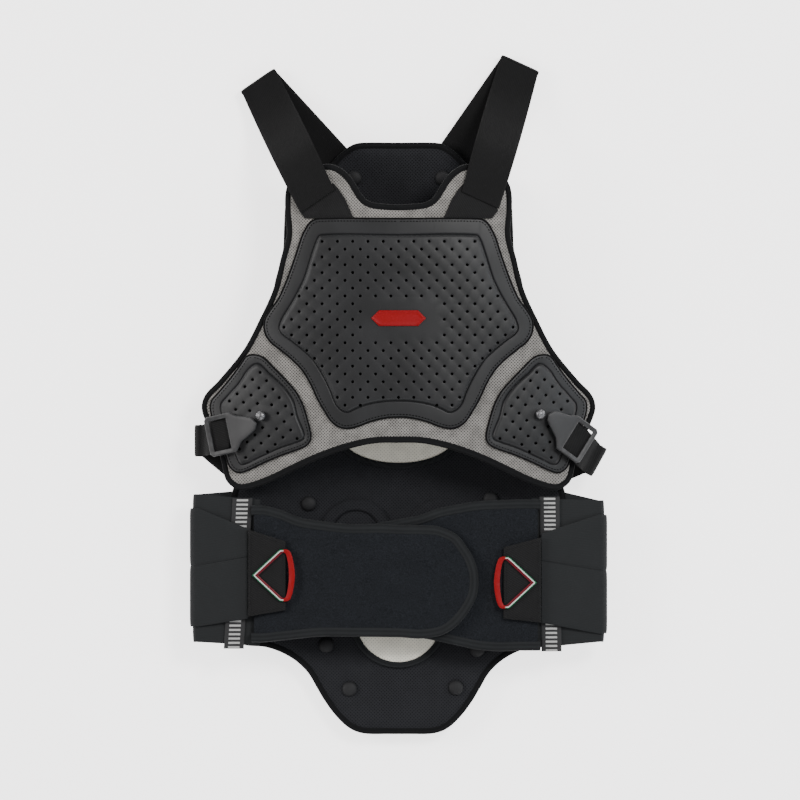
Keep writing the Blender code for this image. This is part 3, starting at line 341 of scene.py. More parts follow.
def smooth_step(share):
    """0 to 1 with a soft start and a soft stop."""
    share = np.clip(share, 0.0, 1.0)
    return share * share * (3 - 2 * share)


# %% [markdown]
# ## Surfaces
# Every layer follows one of three curved surfaces: the shell of the back, which is
# flat along the spine and curls up at the sides and ends, the arch of the chest, and
# the shallow arch of the closed belt. `above` lifts a surface square to itself, so
# that a stack of layers keeps its thickness where the surface leans.

# %% Surfaces of the back, chest and belt
FLAT_HALF_WIDTH = 0.045
SHELL_RADIUS = 0.480
NECK_LIFT_START = 0.170
TAIL_LIFT_START = -0.270
END_LIFT_RADIUS = 0.420
CHEST_RISE = 0.082
CHEST_RADIUS = 0.360
CHEST_DROOP_RADIUS = 0.500
NECK_DROOP_START = 0.120
LAP_DROOP_START = -0.020
BELT_RISE = 0.052
BELT_RADIUS = 1.170
LAYER_GAP = 0.0007


def above(surface, height):
    """A surface that lies square above another by a height."""
    probe = 0.002

    def raised(x, y):
        slope_x = (surface(x + probe, y) - surface(x - probe, y)) / (2 * probe)
        slope_y = (surface(x, y + probe) - surface(x, y - probe)) / (2 * probe)
        return surface(x, y) + height * np.sqrt(1 + slope_x**2 + slope_y**2)

    return raised


def underside(x, y):
    """The lowest surface: flat along the spine, curling up at the sides and ends."""
    past_side = np.maximum(0.0, np.abs(x) - FLAT_HALF_WIDTH)
    past_end = np.maximum(0.0, np.maximum(y - NECK_LIFT_START, TAIL_LIFT_START - y))
    return past_side**2 / (2 * SHELL_RADIUS) + past_end**2 / (2 * END_LIFT_RADIUS)


def chest_middle(x, y):
    """Middle of the chest padding: an arch across that droops at both ends."""
    past = np.maximum(0.0, np.maximum(y - NECK_DROOP_START, LAP_DROOP_START - y))
    return CHEST_RISE - x**2 / (2 * CHEST_RADIUS) - past**2 / (2 * CHEST_DROOP_RADIUS)


def belt_middle(x, y):
    """Middle of the closed belt."""
    return BELT_RISE - x**2 / (2 * BELT_RADIUS) + 0.0 * y


PLATE_GAUGE = 0.003
BACK_GAUGE = 0.011
CHEST_GAUGE = 0.007
level_low = underside
level_high = above(underside, PLATE_GAUGE + LAYER_GAP)
back_under = above(underside, 2 * (PLATE_GAUGE + LAYER_GAP))
back_middle = above(back_under, BACK_GAUGE / 2)
back_face = above(back_under, BACK_GAUGE + LAYER_GAP)
chest_face = above(chest_middle, CHEST_GAUGE / 2 + LAYER_GAP)
print("chest rises to", round(float(chest_face(0.0, 0.0)), 4))

# %% [markdown]
# ## Three ways to make a piece
# Sheets, pads and moulded plates are panels: an outline filled with a fine net of
# points, whose top and bottom are lifted by two height functions. Holes are cut by
# leaving their loops open. Straps are bands through cross lines, and binding tape and
# wires are tubes along a path. All three store how far each point lies from the edge
# or along the piece, so that a weave or a stitch can follow it without a UV map.

# %% Finish a mesh
ROOT = "root"


def settle(name, points, faces, finish, marks, replaces, sharp=40.0):
    """A piece from its points and faces, smooth but for its sharp edges."""
    mesh = bpy.data.meshes.new(name)
    mesh.from_pydata([tuple(point) for point in points], [], faces)
    for mark, values in marks.items():
        layer = mesh.attributes.new(mark, "FLOAT", "POINT")
        layer.data.foreach_set("value", np.asarray(values, dtype=np.float32))
    mesh.validate()
    mesh.shade_smooth()
    mesh.set_sharp_from_angle(angle=math.radians(sharp))
    mesh.materials.append(FINISHES[finish].material)
    piece = bpy.data.objects.new(name, mesh)
    bpy.context.scene.collection.objects.link(piece)
    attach(piece, ROOT)
    if replaces:
        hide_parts(*replaces)
    return piece


# %% Panels
HOLE_CORNERS = 10


def net(loops, rings, spacing, keep_off=0.55):
    """Points and triangles that fill the first loop and leave the other loops open."""
    outline = loops[0]
    low, high = outline.min(axis=0), outline.max(axis=0)
    columns = np.arange(low[0], high[0] + spacing, spacing)
    lines = np.arange(low[1], high[1] + spacing, spacing * 0.866)
    grid = np.array([
        (x + spacing / 2 * (index % 2), y) for index, y in enumerate(lines) for x in columns
    ])
    solid = np.concatenate([*loops, *rings])
    grid = grid[inside(grid, outline)]
    rings = [ring[inside(ring, outline)] for ring in rings]
    cell = spacing * keep_off
    taken = {(int(x // cell), int(y // cell)) for x, y in solid}
    free = [
        not any((int(x // cell) + i, int(y // cell) + j) in taken for i in (-1, 0, 1) for j in (-1, 0, 1))
        for x, y in grid
    ]
    coords, edges = [], []
    for loop in loops:
        first = len(coords)
        coords += [Vector(point) for point in loop]
        edges += [(first + index, first + (index + 1) % len(loop)) for index in range(len(loop))]
    for extra in (*rings, grid[np.array(free, dtype=bool)]):
        coords += [Vector(point) for point in extra]
    points, _, faces, *_ = delaunay_2d_cdt(coords, edges, [], 1, 1e-7)
    points, faces = np.array([point[:] for point in points]), np.array(faces)
    middles = points[faces].mean(axis=1)
    kept = inside(middles, outline)
    for hole in loops[1:]:
        close = np.all((middles > hole.min(axis=0)) & (middles < hole.max(axis=0)), axis=1)
        kept[close] &= ~inside(middles[close], hole)
    used, order = np.unique(faces[kept], return_inverse=True)
    return points[used], [tuple(face) for face in order.reshape(-1, 3).tolist()]


def panel(name, loops, top, bottom, finish, replaces=(), rings=(), spacing=0.005, marks=None,
          edge_rings=(0.0004, 0.0011, 0.0024, 0.0048), sharp=40.0):
    """A closed piece between the heights that top and bottom give over an outline."""
    outline = loops[0]
    rings = list(rings) + [inset(outline, depth) for depth in edge_rings]
    flat, faces = net(loops, rings, spacing)
    depth, along = distance_to(flat, outline)
    outer = depth
    for ring in loops[1:]:
        gap, _ = distance_to(flat, ring)
        depth = np.minimum(depth, gap) if len(ring) > HOLE_CORNERS else depth
    upper, lower = top(flat, depth), bottom(flat, depth)
    points = np.concatenate((np.column_stack((flat, upper)), np.column_stack((flat, lower))))
    count = len(flat)
    up = [face if turning(flat[list(face)]) > 0 else face[::-1] for face in faces]
    down = [tuple(corner + count for corner in reversed(face)) for face in up]
    seen = {(a, b) for face in up for a, b in zip(face, face[1:] + face[:1])}
    walls = [(b, a, a + count, b + count) for a, b in seen if (b, a) not in seen]
    stored = {"edge": depth, "outer": outer, "along": along}
    stored.update(marks(flat) if marks else {})
    stored = {mark: np.concatenate((values, values)) for mark, values in stored.items()}
    return settle(name, points, up + down + walls, finish, stored, replaces, sharp)


def rounded(depth, radius):
    """How far below its face a rounded edge lies, at a depth in from the outline."""
    short = np.clip(1 - depth / radius, 0.0, 1.0)
    return radius * (1 - np.sqrt(1 - short**2))


# %% Bands
def finer(rows, parts):
    """More cross lines between those given, on a smooth curve through them."""
    rows = np.array(rows)
    before = np.concatenate((2 * rows[:1] - rows[1:2], rows[:-1]))
    after = np.concatenate((rows[1:], 2 * rows[-1:] - rows[-2:-1]))
    slope = (after - before) / 2
    made = []
    for index in range(len(rows) - 1):
        for t in np.arange(parts) / parts:
            made.append(
                rows[index] * (2 * t**3 - 3 * t**2 + 1)
                + slope[index] * (t**3 - 2 * t**2 + t)
                + rows[index + 1] * (3 * t**2 - 2 * t**3)
                + slope[index + 1] * (t**3 - t**2)
            )
    made.append(rows[-1])
    return np.array(made)


def band(name, rows, gauge, finish, replaces=(), parts=4, columns=14, swell=None):
    """A flat strap through cross lines, each given by its two ends."""
    rows = finer(rows, parts)
    middle = rows.mean(axis=1)
    steps = np.linalg.norm(np.diff(middle, axis=0), axis=1)
    run = np.concatenate(([0.0], np.cumsum(steps)))
    forward = np.gradient(middle, axis=0)
    share = 0.5 - 0.5 * np.cos(np.linspace(0, math.pi, columns))
    ring_share = np.concatenate((share, share[::-1]))
    side = np.concatenate((np.ones(columns), -np.ones(columns)))
    lip = np.sqrt(np.clip(1 - (2 * share - 1) ** 10, 0.0, 1.0))
    lift = side * np.concatenate((lip, lip[::-1])) * gauge / 2
    points, along, across = [], [], []
    for row, ahead, at in zip(rows, forward, run):
        reach = row[1] - row[0]
        width = np.linalg.norm(reach)
        up = np.cross(reach, ahead)
        up /= np.linalg.norm(up)
        extra = swell(at, ring_share) if swell else 0.0
        points.append(row[0] + ring_share[:, None] * reach + (lift + extra)[:, None] * up)
        along.append(np.full(2 * columns, at))
        across.append((ring_share - 0.5) * width)
    points = np.concatenate(points)
    around = 2 * columns
    faces = []
    for line in range(len(rows) - 1):
        for turn in range(around):
            a, b = line * around + turn, line * around + (turn + 1) % around
            faces.append((a, a + around, b + around, b))
    for first, order in ((0, 1), ((len(rows) - 1) * around, -1)):
        for turn in range(columns - 1):
            a, b = first + turn, first + turn + 1
            c, d = first + around - 2 - turn, first + around - 1 - turn
            faces.append((a, b, c, d)[::order])
    marks = {"along": np.concatenate(along), "across": np.concatenate(across)}
    return settle(name, points, faces, finish, marks, replaces, 50.0)


# %% Tubes
def tube(name, path, outward, section, finish, replaces=(), closed=True):
    """A section swept along a path: outward points away from the piece it borders."""
    path = np.array(path)
    count, around = len(path), len(section)
    if closed:
        ahead = np.roll(path, -1, axis=0) - np.roll(path, 1, axis=0)
    else:
        ahead = np.gradient(path, axis=0)
    ahead /= np.linalg.norm(ahead, axis=1)[:, None]
    out = np.array(outward)
    out = out - (out * ahead).sum(1)[:, None] * ahead
    out /= np.linalg.norm(out, axis=1)[:, None]
    up = np.cross(ahead, out)
    up *= np.where(up[:, 2:3] < 0, -1.0, 1.0)
    section = np.array(section)
    points = path[:, None] + section[None, :, :1] * out[:, None] + section[None, :, 1:] * up[:, None]
    gaps = np.linalg.norm(np.roll(path, -1, axis=0) - path, axis=1)
    run = np.concatenate(([0.0], np.cumsum(gaps)[:-1]))
    faces = []
    for line in range(count if closed else count - 1):
        after = (line + 1) % count
        for turn in range(around):
            follow = (turn + 1) % around
            faces.append((
                line * around + turn, after * around + turn,
                after * around + follow, line * around + follow,
            ))
    if not closed:
        faces.append(tuple(range(around)))
        faces.append(tuple((count - 1) * around + turn for turn in reversed(range(around))))
    marks = {
        "along": np.repeat(run, around),
        "across": np.tile(section[:, 0], count),
    }
    return settle(name, points.reshape(-1, 3), faces, finish, marks, replaces, 60.0)


def flat_oval(width, height, corners=16, power=0.6):
    """The section of a folded tape, fuller than an ellipse."""
    angles = np.arange(corners) * math.tau / corners
    x, y = np.cos(angles), np.sin(angles)
    return [
        (width / 2 * np.sign(a) * abs(a) ** power, height / 2 * np.sign(b) * abs(b) ** power)
        for a, b in zip(x, y)
    ]


def binding(name, loop, surface, width, height, replaces):
    """Tape folded over the edge of a panel."""
    path = inset(loop, width / 2)
    heights = surface(path[:, 0], path[:, 1])
    ahead = np.roll(path, -1, axis=0) - np.roll(path, 1, axis=0)
    outward = np.column_stack((ahead[:, 1], -ahead[:, 0], 0 * heights)) * turning(path)
    section = flat_oval(width, height)
    path = np.column_stack((path, heights))
    return tube(name, path, outward, section, "edge_tape", replaces)


# %% [markdown]
# Foam under tight fabric swells a little between its seams. A short cloth run blows
# each waist pad up from inside while its rim and the part under the tabs are held, and
# no point may move further than a cap, so that the pad stays clear of what lies on it.

# %% Swelling pads
SWELL_FRAMES = 20
SWELL_PRESSURE = 4.0


def swollen(piece, held, cap):
    """Foam that swells between its seams, from a cloth run with the held points pinned."""
    mesh = piece.data
    before = np.empty(3 * len(mesh.vertices))
    mesh.vertices.foreach_get("co", before)
    group = piece.vertex_groups.new(name="held")
    group.add([int(index) for index in np.flatnonzero(held)], 1.0, "REPLACE")
    cloth = piece.modifiers.new("Swell", "CLOTH")
    cloth.settings.vertex_group_mass = group.name
    cloth.settings.use_pressure = True
    cloth.settings.uniform_pressure_force = SWELL_PRESSURE
    cloth.settings.effector_weights.gravity = 0.0
    cloth.collision_settings.use_collision = False
    cloth.point_cache.frame_start, cloth.point_cache.frame_end = 1, SWELL_FRAMES
    scene = bpy.context.scene
    for frame in range(1, SWELL_FRAMES + 1):
        scene.frame_set(frame)
    blown = piece.evaluated_get(bpy.context.evaluated_depsgraph_get()).data
    after = before.copy()
    if len(blown.vertices) == len(mesh.vertices):
        blown.vertices.foreach_get("co", after)
    moved = (after - before).reshape(-1, 3)
    reach = np.linalg.norm(moved, axis=1, keepdims=True)
    moved *= np.minimum(1.0, cap / np.maximum(reach, 1e-9))
    piece.modifiers.remove(cloth)
    piece.vertex_groups.remove(group)
    mesh.vertices.foreach_set("co", before + moved.ravel())
    mesh.update()
    scene.frame_set(1)
    print(piece.name, "swelled by", round(1000 * float(reach.max()), 2), "mm, capped at", 1000 * cap)


# %% Round pieces and stitches
def turned(name, profile, matrix, finish, replaces=(), steps=40):
    """A round piece from its profile, which runs from the top of its axis to its foot."""
    ring = [(math.cos(math.tau * turn / steps), math.sin(math.tau * turn / steps)) for turn in range(steps)]
    points = [(radius * x, radius * y, height) for radius, height in profile[1:-1] for x, y in ring]
    points += [(0.0, 0.0, profile[0][1]), (0.0, 0.0, profile[-1][1])]
    tip, foot = len(points) - 2, len(points) - 1
    lines = len(profile) - 2
    faces = [(tip, turn, (turn + 1) % steps) for turn in range(steps)]
    for line in range(lines - 1):
        for turn in range(steps):
            follow = (turn + 1) % steps
            a, b = line * steps + turn, line * steps + follow
            faces.append((a, a + steps, b + steps, b))
    last = (lines - 1) * steps
    faces += [(last + (turn + 1) % steps, last + turn, foot) for turn in range(steps)]
    placed = [matrix @ Vector(point) for point in points]
    edge = [math.hypot(point[0], point[1]) for point in points]
    return settle(name, placed, faces, finish, {"edge": edge}, replaces, 45.0)


def lying_on(surface, x, y, turn=0.0):
    """The place of a piece that lies on a surface, turned by degrees."""
    probe = 0.002
    slope_x = float(surface(x + probe, y) - surface(x - probe, y)) / (2 * probe)
    slope_y = float(surface(x, y + probe) - surface(x, y - probe)) / (2 * probe)
    square = Vector((-slope_x, -slope_y, 1.0)).normalized()
    tilt = Vector((0.0, 0.0, 1.0)).rotation_difference(square).to_matrix().to_4x4()
    place = Matrix.Translation((x, y, float(surface(x, y))))
    return place @ tilt @ Matrix.Rotation(math.radians(turn), 4, "Z")


def stitches(name, paths, pitch, length, radius, finish="thread"):
    """Rows of short threads that lie along paths of points in space."""
    points, faces = [], []
    sides = 5
    for path in paths:
        path = np.array(path)
        gaps = np.linalg.norm(np.diff(path, axis=0), axis=1)
        run = np.concatenate(([0.0], np.cumsum(gaps)))
        for start in np.arange(pitch / 2, run[-1] - length, pitch):
            ends = [np.array([np.interp(at, run, path[:, axis]) for axis in range(3)])
                    for at in (start, start + length)]
            ahead = ends[1] - ends[0]
            ahead /= max(np.linalg.norm(ahead), 1e-9)
            side = np.cross(ahead, (0.0, 0.0, 1.0))
            side /= max(np.linalg.norm(side), 1e-9)
            up = np.cross(side, ahead)
            first = len(points)
            for share, size in ((0.0, 0.25), (0.2, 1.0), (0.8, 1.0), (1.0, 0.25)):
                middle = ends[0] + (ends[1] - ends[0]) * share
                for turn in range(sides):
                    angle = math.tau * turn / sides
                    points.append(middle + size * radius * (side * math.cos(angle) + up * math.sin(angle)))
            for ring in range(3):
                for turn in range(sides):
                    a, b = first + ring * sides + turn, first + ring * sides + (turn + 1) % sides
                    faces.append((a, b, b + sides, a + sides))
            faces.append(tuple(first + turn for turn in reversed(range(sides))))
            faces.append(tuple(first + 3 * sides + turn for turn in range(sides)))
    return settle(name, points, faces, finish, {}, (), 70.0)


def on_surface(loop, surface, closed=True):
    """A loop of points laid on a surface."""
    loop = np.concatenate((loop, loop[:1])) if closed else loop
    return np.column_stack((loop, surface(loop[:, 0], loop[:, 1])))


print("helpers ready")

# %% [markdown]
# ## Finishes
# Black is never one black on a guard like this: knitted mesh, woven elastic, brushed
# loop fabric and moulded plastic each catch light in their own way. Each finish below
# takes its weave from the place on the object or from the marks along the piece, and
# the same pattern drives the colour, the roughness and the relief.

# %% Moulded charcoal plastic
def charcoal(name, dark, light):
    """Satin plastic with a fine grain, paler on its worn edges, and dull in its sunk lines, which are also
    painted dark as shade.
    """
    plastic = Finish(name, Specular_IOR_Level=0.32)
    cloud = plastic.noise(0.045, 2.0)
    grain = plastic.noise(0.0007, 2.0)
    tone = plastic.blend(cloud.rise(0.35, 0.68), dark, light)
    edge = plastic.mark("edge")
    worn = (1 - edge.rise(0.0, 0.0016)) * plastic.noise(0.006, 4.0).rise(0.35, 0.7) * 0.55
    tone = plastic.blend(worn, tone, (0.06, 0.061, 0.063))
    line = plastic.mark("line")
    # The sunk line is painted near-black as the shade in its groove, and it is made duller as well.
    sunk_line_dull_and_shaded = 1 - line.rise(0.0001, 0.0006)
    tone = plastic.blend(sunk_line_dull_and_shaded * 0.85, tone, (0.006, 0.006, 0.007))
    scratch = plastic.noise(0.004, 6.0, (1.0, 0.18, 1.0)).rise(0.55, 0.8)
    plastic.paint(Base_Color=tone, Roughness=0.44 + grain * 0.10 + scratch * 0.08 + sunk_line_dull_and_shaded * 0.2)
    plastic.emboss(grain * 0.7 + scratch * 0.3, 0.00004)
    return plastic


FINISHES["plastic"] = charcoal("charcoal_plastic", (0.0065, 0.0068, 0.0075), (0.0115, 0.0119, 0.0130))
FINISHES["buckle"] = charcoal("buckle_plastic", (0.020, 0.020, 0.021), (0.032, 0.032, 0.033))
FINISHES["rivet"] = charcoal("rivet_plastic", (0.010, 0.011, 0.012), (0.018, 0.019, 0.021))

# %% Worn metal of the studs
metal = Finish("stud_metal", Metallic=1.0)
speckle = metal.noise(0.0007, 3.0).rise(0.40, 0.62)
metal.paint(
    Base_Color=metal.blend(speckle, (0.06, 0.06, 0.06), (0.27, 0.27, 0.28)),
    Roughness=0.55 - speckle * 0.2,
)
metal.emboss(speckle, 0.00005)
FINISHES["metal"] = metal


# %% Knitted meshes
def knit(name, ground, hole, pitch, radius, depth, roughness=0.9, sheen=0.0, shade=0.72):
    """A knit with a staggered grid of small holes, pitch apart along its diagonals."""
    mesh = Finish(name, Sheen_Weight=sheen, Sheen_Roughness=0.5, Specular_IOR_Level=0.15)
    x, y, _ = mesh.place()
    bend = (mesh.noise(0.03, 2.0) - 0.5) * 0.0012
    u = (x + y) * 0.7071 + bend
    v = (x - y) * 0.7071 - bend
    holes = dots(u, v, pitch, radius, radius * 0.35)
    thread = ((u / pitch * 3).wave(1.0) + (v / pitch * 3).wave(1.0)) * 0.5
    cloud = mesh.noise(0.012, 2.0).rise(0.3, 0.7)
    tone = mesh.blend(thread * 0.45 + cloud * 0.35, tuple(shade * c for c in ground), ground)
    mesh.paint(Base_Color=mesh.blend(holes, tone, hole), Roughness=roughness)
    mesh.emboss((1 - holes) * 0.8 + thread * 0.2, depth)
    return mesh


FINISHES["black_mesh"] = knit(
    "black_mesh", (0.0185, 0.0192, 0.0220), (0.004, 0.004, 0.005), 0.0023, 0.00055, 0.0003)
silver = knit(
    "silver_mesh", (0.30, 0.288, 0.272), (0.030, 0.029, 0.028), 0.0021, 0.00056, 0.0003,
    sheen=0.05, shade=0.40)
# Where a plate covers the silver mesh, the mesh is painted near-black: painted shade that shows through the
# plate's holes.
PAINTED_SHADE_UNDER_PLATES = (0.004, 0.004, 0.004)
covered = silver.mark("covered")
bare = silver.shader.inputs["Base Color"].links[0].from_socket
silver.paint(Base_Color=silver.blend(covered, Wire(silver, bare), PAINTED_SHADE_UNDER_PLATES))
FINISHES["silver_mesh"] = silver
# The window mesh is pale, and its colour is raised further as painted light that makes up for the shade the
# chest panel throws on it.
FINISHES["window_mesh"] = knit(
    "window_mesh", (0.95, 0.92, 0.80), (0.45, 0.43, 0.37), 0.0024, 0.00038, 0.0003)


# %% Tapes, elastic and webbing
def woven(name, dark, light, rib, pick, depth, twill=0.0, roughness=0.85, sheen=0.02):
    """Ribs a distance apart across a strap, crossed by picks along it."""
    cloth = Finish(name, Sheen_Weight=sheen, Sheen_Roughness=0.4, Specular_IOR_Level=0.12)
    along, across = cloth.mark("along"), cloth.mark("across")
    ribs = (across + along * twill).wave(rib)
    picks = along.wave(pick)
    relief = ribs * 0.6 + picks * 0.4
    lint = cloth.noise(0.0012, 3.0).rise(0.62, 0.78)
    cloud = cloth.noise(0.02, 3.0)
    tone = cloth.blend(relief * 0.6 + cloud * 0.4, dark, light)
    tone = cloth.blend(lint * 0.12, tone, (0.05, 0.05, 0.052))
    cloth.paint(Base_Color=tone, Roughness=roughness)
    cloth.emboss(relief, depth)
    return cloth


FINISHES["binding"] = woven(
    "binding_tape", (0.006, 0.0065, 0.007), (0.019, 0.0205, 0.022), 0.0040, 0.0011, 0.0002)
FINISHES["elastic"] = woven(
    "strap_elastic", (0.004, 0.004, 0.0041), (0.0085, 0.0085, 0.0088), 0.0016, 0.0008, 0.00012)
FINISHES["side_elastic"] = woven(
    "side_elastic", (0.0130, 0.0138, 0.0145), (0.0185, 0.0198, 0.0208), 0.0016, 0.0009, 0.00008)
FINISHES["webbing"] = woven(
    "black_webbing", (0.005, 0.005, 0.005), (0.015, 0.015, 0.0155), 0.0022, 0.0012, 0.0002, twill=0.6)
FINISHES["edge_tape"] = woven(
    "edge_tape", (0.0022, 0.0023, 0.0026), (0.0070, 0.0073, 0.0080), 0.0030, 0.0011, 0.0002)
FINISHES["seam_thread"] = woven(
    "seam_thread", (0.0010, 0.0010, 0.0012), (0.0022, 0.0022, 0.0024), 0.0010, 0.0008, 0.0001)
FINISHES["thread"] = woven(
    "dark_thread", (0.005, 0.005, 0.006), (0.014, 0.014, 0.015), 0.0010, 0.0008, 0.0001)

# %% Brushed loop fabric of the belt
LOOP_DARK, LOOP_LIGHT, LINT = (0.0016, 0.0020, 0.0027), (0.0165, 0.0185, 0.0225), (0.06, 0.066, 0.075)
loop_fabric = Finish(
    "loop_fabric", Sheen_Weight=0.03, Sheen_Roughness=0.6, Roughness=1.0, Specular_IOR_Level=0.1)
fuzz = loop_fabric.noise(0.0009, 5.0)
tuft = loop_fabric.noise(0.0035, 3.0)
nap = loop_fabric.noise(0.03, 2.0, (1.0, 2.0, 1.0))
pile = fuzz.rise(0.30, 0.72) * 0.6 + tuft * 0.2 + nap * 0.2
shade = loop_fabric.blend(pile, LOOP_DARK, LOOP_LIGHT)
lint = loop_fabric.noise(0.0016, 5.0).rise(0.66, 0.76)
loop_fabric.paint(Base_Color=loop_fabric.blend(lint * 0.25, shade, LINT))
loop_fabric.emboss(fuzz * 0.6 + tuft * 0.4, 0.0008)
FINISHES["loop_fabric"] = loop_fabric

# %% Reflective tape
tape = Finish("reflective_tape", Specular_IOR_Level=0.5)
BAR_PITCH = 0.0041
bars = 1 - (((tape.mark("along") / BAR_PITCH).fraction() - 0.5).size()).rise(0.20, 0.26)
sides = 1 - tape.mark("across").size().rise(0.0052, 0.0056)
bars = bars * sides
glint = tape.noise(0.0005, 2.0)
tape.paint(
    Base_Color=tape.blend(bars, (0.010, 0.010, 0.011), (0.33, 0.33, 0.325)),
    Roughness=0.75 - bars * 0.35 + glint * 0.1,
)
tape.emboss(bars * 0.8 + glint * 0.2, 0.00015)
FINISHES["reflective"] = tape

# %% Red rubber, and the striped rubber of the pull frames
def rubber(name):
    """Moulded red rubber, dusty in its corners."""
    made = Finish(name, Specular_IOR_Level=0.15)
    dust = made.noise(0.002, 4.0).rise(0.45, 0.75)
    tone = made.blend(dust * 0.4, (0.20, 0.002, 0.004), (0.25, 0.005, 0.008))
    made.paint(Roughness=0.45 + dust * 0.2)
    made.emboss(made.noise(0.0006, 2.0), 0.00004)
    return made, tone


plain_rubber, red = rubber("red_rubber")
plain_rubber.paint(Base_Color=red)
FINISHES["rubber"] = plain_rubber
striped, red = rubber("striped_rubber")
edge, side = striped.mark("outer"), striped.mark("stripes")
GREEN, WHITE, DEEP_RED = (0.004, 0.085, 0.035), (0.50, 0.50, 0.48), (0.10, 0.004, 0.010)
stripe = striped.blend(edge.rise(0.0009, 0.0011), GREEN, WHITE)
stripe = striped.blend(edge.rise(0.0019, 0.0021), stripe, DEEP_RED)
striped.paint(Base_Color=striped.blend(side, red, stripe))
FINISHES["striped"] = striped

# %% Studio floor
paper = Finish("studio_paper", Roughness=0.9, Emission_Color=(1.0, 0.985, 0.985), Emission_Strength=2.2)
paper.paint(Base_Color=paper.blend(paper.noise(0.5, 1.0), (0.86, 0.85, 0.85), (0.90, 0.895, 0.89)))
FLOOR_SIZE = 12.0
floor_mesh = bpy.data.meshes.new("studio_floor")
half_floor = FLOOR_SIZE / 2
floor_mesh.from_pydata(
    [(x, y, 0.0) for x, y in ((-half_floor, -half_floor), (half_floor, -half_floor),
                              (half_floor, half_floor), (-half_floor, half_floor))],
    [], [(0, 1, 2, 3)])
floor_mesh.materials.append(paper.material)
floor = bpy.data.objects.new("studio_floor", floor_mesh)
bpy.context.scene.collection.objects.link(floor)
print("finishes:", len(FINISHES))

# %% [markdown]
# ## The back panel
# The back is foam in a knitted cover, bound with tape, on hard plates. Its edge thins
# under the tape. Along the spine the cover lies flat, and round each rivet it is drawn
# down, which shows as a shallow dish. The solid's outline is repeated here.

# %% Back panel and its binding
BACK_HALF_WIDTH = 0.160
BACK_LENGTH = 0.5625
BACK_TOP = 0.240
BACK_TAPE = 0.0065
BACK_OUTLINE = (
    (0.000, 0.000), (0.214, 0.000), (0.268, 0.003), (0.310, 0.010), (0.357, 0.021),
    (0.414, 0.038), (0.524, 0.057), (0.619, 0.073), (0.666, 0.097), (0.679, 0.140),
    (0.685, 0.180), (0.708, 0.208), (0.738, 0.243), (0.752, 0.300), (0.745, 0.370),
    (0.760, 0.440), (0.830, 0.508), (0.925, 0.555), (0.980, 0.583), (1.000, 0.620),
    (1.000, 0.780), (0.983, 0.828), (0.929, 0.846), (0.792, 0.851), (0.696, 0.860),
    (0.607, 0.875), (0.536, 0.895), (0.482, 0.921), (0.440, 0.941), (0.375, 0.966),
    (0.292, 0.988), (0.208, 0.997), (0.060, 0.998), (0.000, 0.998),
)
RIVETS = {
    "rivet_neck_left": (-0.262, 0.060),
    "rivet_neck_right": (0.262, 0.060),
    "rivet_waist_left": (-0.533, 0.609),
    "rivet_waist_right": (0.546, 0.602),
    "rivet_low_left": (-0.428, 0.848),
    "rivet_low_right": (0.466, 0.855),
    "rivet_tail_left": (-0.290, 0.9215),
    "rivet_tail_right": (0.340, 0.9195),
}
RIVET_RADIUS = 0.0071
RIVET_HEIGHT = 0.0036


def on_back(place):
    """A point from its shares of the back panel's half width and length."""
    return place[0] * BACK_HALF_WIDTH, BACK_TOP - place[1] * BACK_LENGTH


def near(flat, places):
    """How far points lie from the nearest of some places."""
    gaps = [np.hypot(flat[:, 0] - x, flat[:, 1] - y) for x, y in places]
    return np.min(gaps, axis=0)


def swell_noise(flat, size, seed):
    """Soft lumps of about a size, between -1 and 1, that are the same each time."""
    turns = np.random.default_rng(seed).uniform(0, math.tau, (6, 2))
    total = np.zeros(len(flat))
    for index, (angle, phase) in enumerate(turns):
        pull = (flat[:, 0] * math.cos(angle) + flat[:, 1] * math.sin(angle)) / size
        total += np.sin(pull * (1.0 + 0.37 * index) + phase)
    return total / 6


def padding(surface, gauge, edge_gauge, slope, relief):
    """Top and bottom heights of a padded panel, thin at its rim."""

    def fullness(depth):
        return edge_gauge + (gauge - edge_gauge) * np.sin(np.clip(depth / slope, 0, 1) * math.pi / 2)

    def top(flat, depth):
        return surface(flat[:, 0], flat[:, 1]) + fullness(depth) / 2 + relief(flat, depth)

    def bottom(flat, depth):
        return surface(flat[:, 0], flat[:, 1]) - fullness(depth) / 2

    return top, bottom


back_loop = smooth_loop(mirrored(BACK_OUTLINE, BACK_HALF_WIDTH, BACK_LENGTH, BACK_TOP))
rivet_places = [on_back(place) for place in RIVETS.values()]
DISH_RADIUS = 0.017
DISH_DEPTH = 0.0007


def back_relief(flat, depth):
    """Soft lumps of the foam, and a dish round each rivet."""
    dish = 1 - smooth_step(near(flat, rivet_places) / DISH_RADIUS)
    lumps = swell_noise(flat, 0.021, 3) * smooth_step(depth / 0.02)
    return 0.00025 * lumps - DISH_DEPTH * dish


rim = inset(back_loop, 0.55 * BACK_TAPE)
back_top, back_bottom = padding(back_middle, BACK_GAUGE, 0.0035, 0.0105, back_relief)
back = panel("back_cover", [rim], back_top, back_bottom, "black_mesh", ["back_panel"])
binding("back_tape", back_loop, back_middle, BACK_TAPE, BACK_TAPE, ["back_panel_binding"])
print("back panel:", len(back.data.polygons), "faces")

# %% [markdown]
# ## Hard plates and rivets
# The plates under the back are flat sheets with rounded edges. They overlap like
# shingles, and each overlap is held by rivets whose domed heads show on the front.

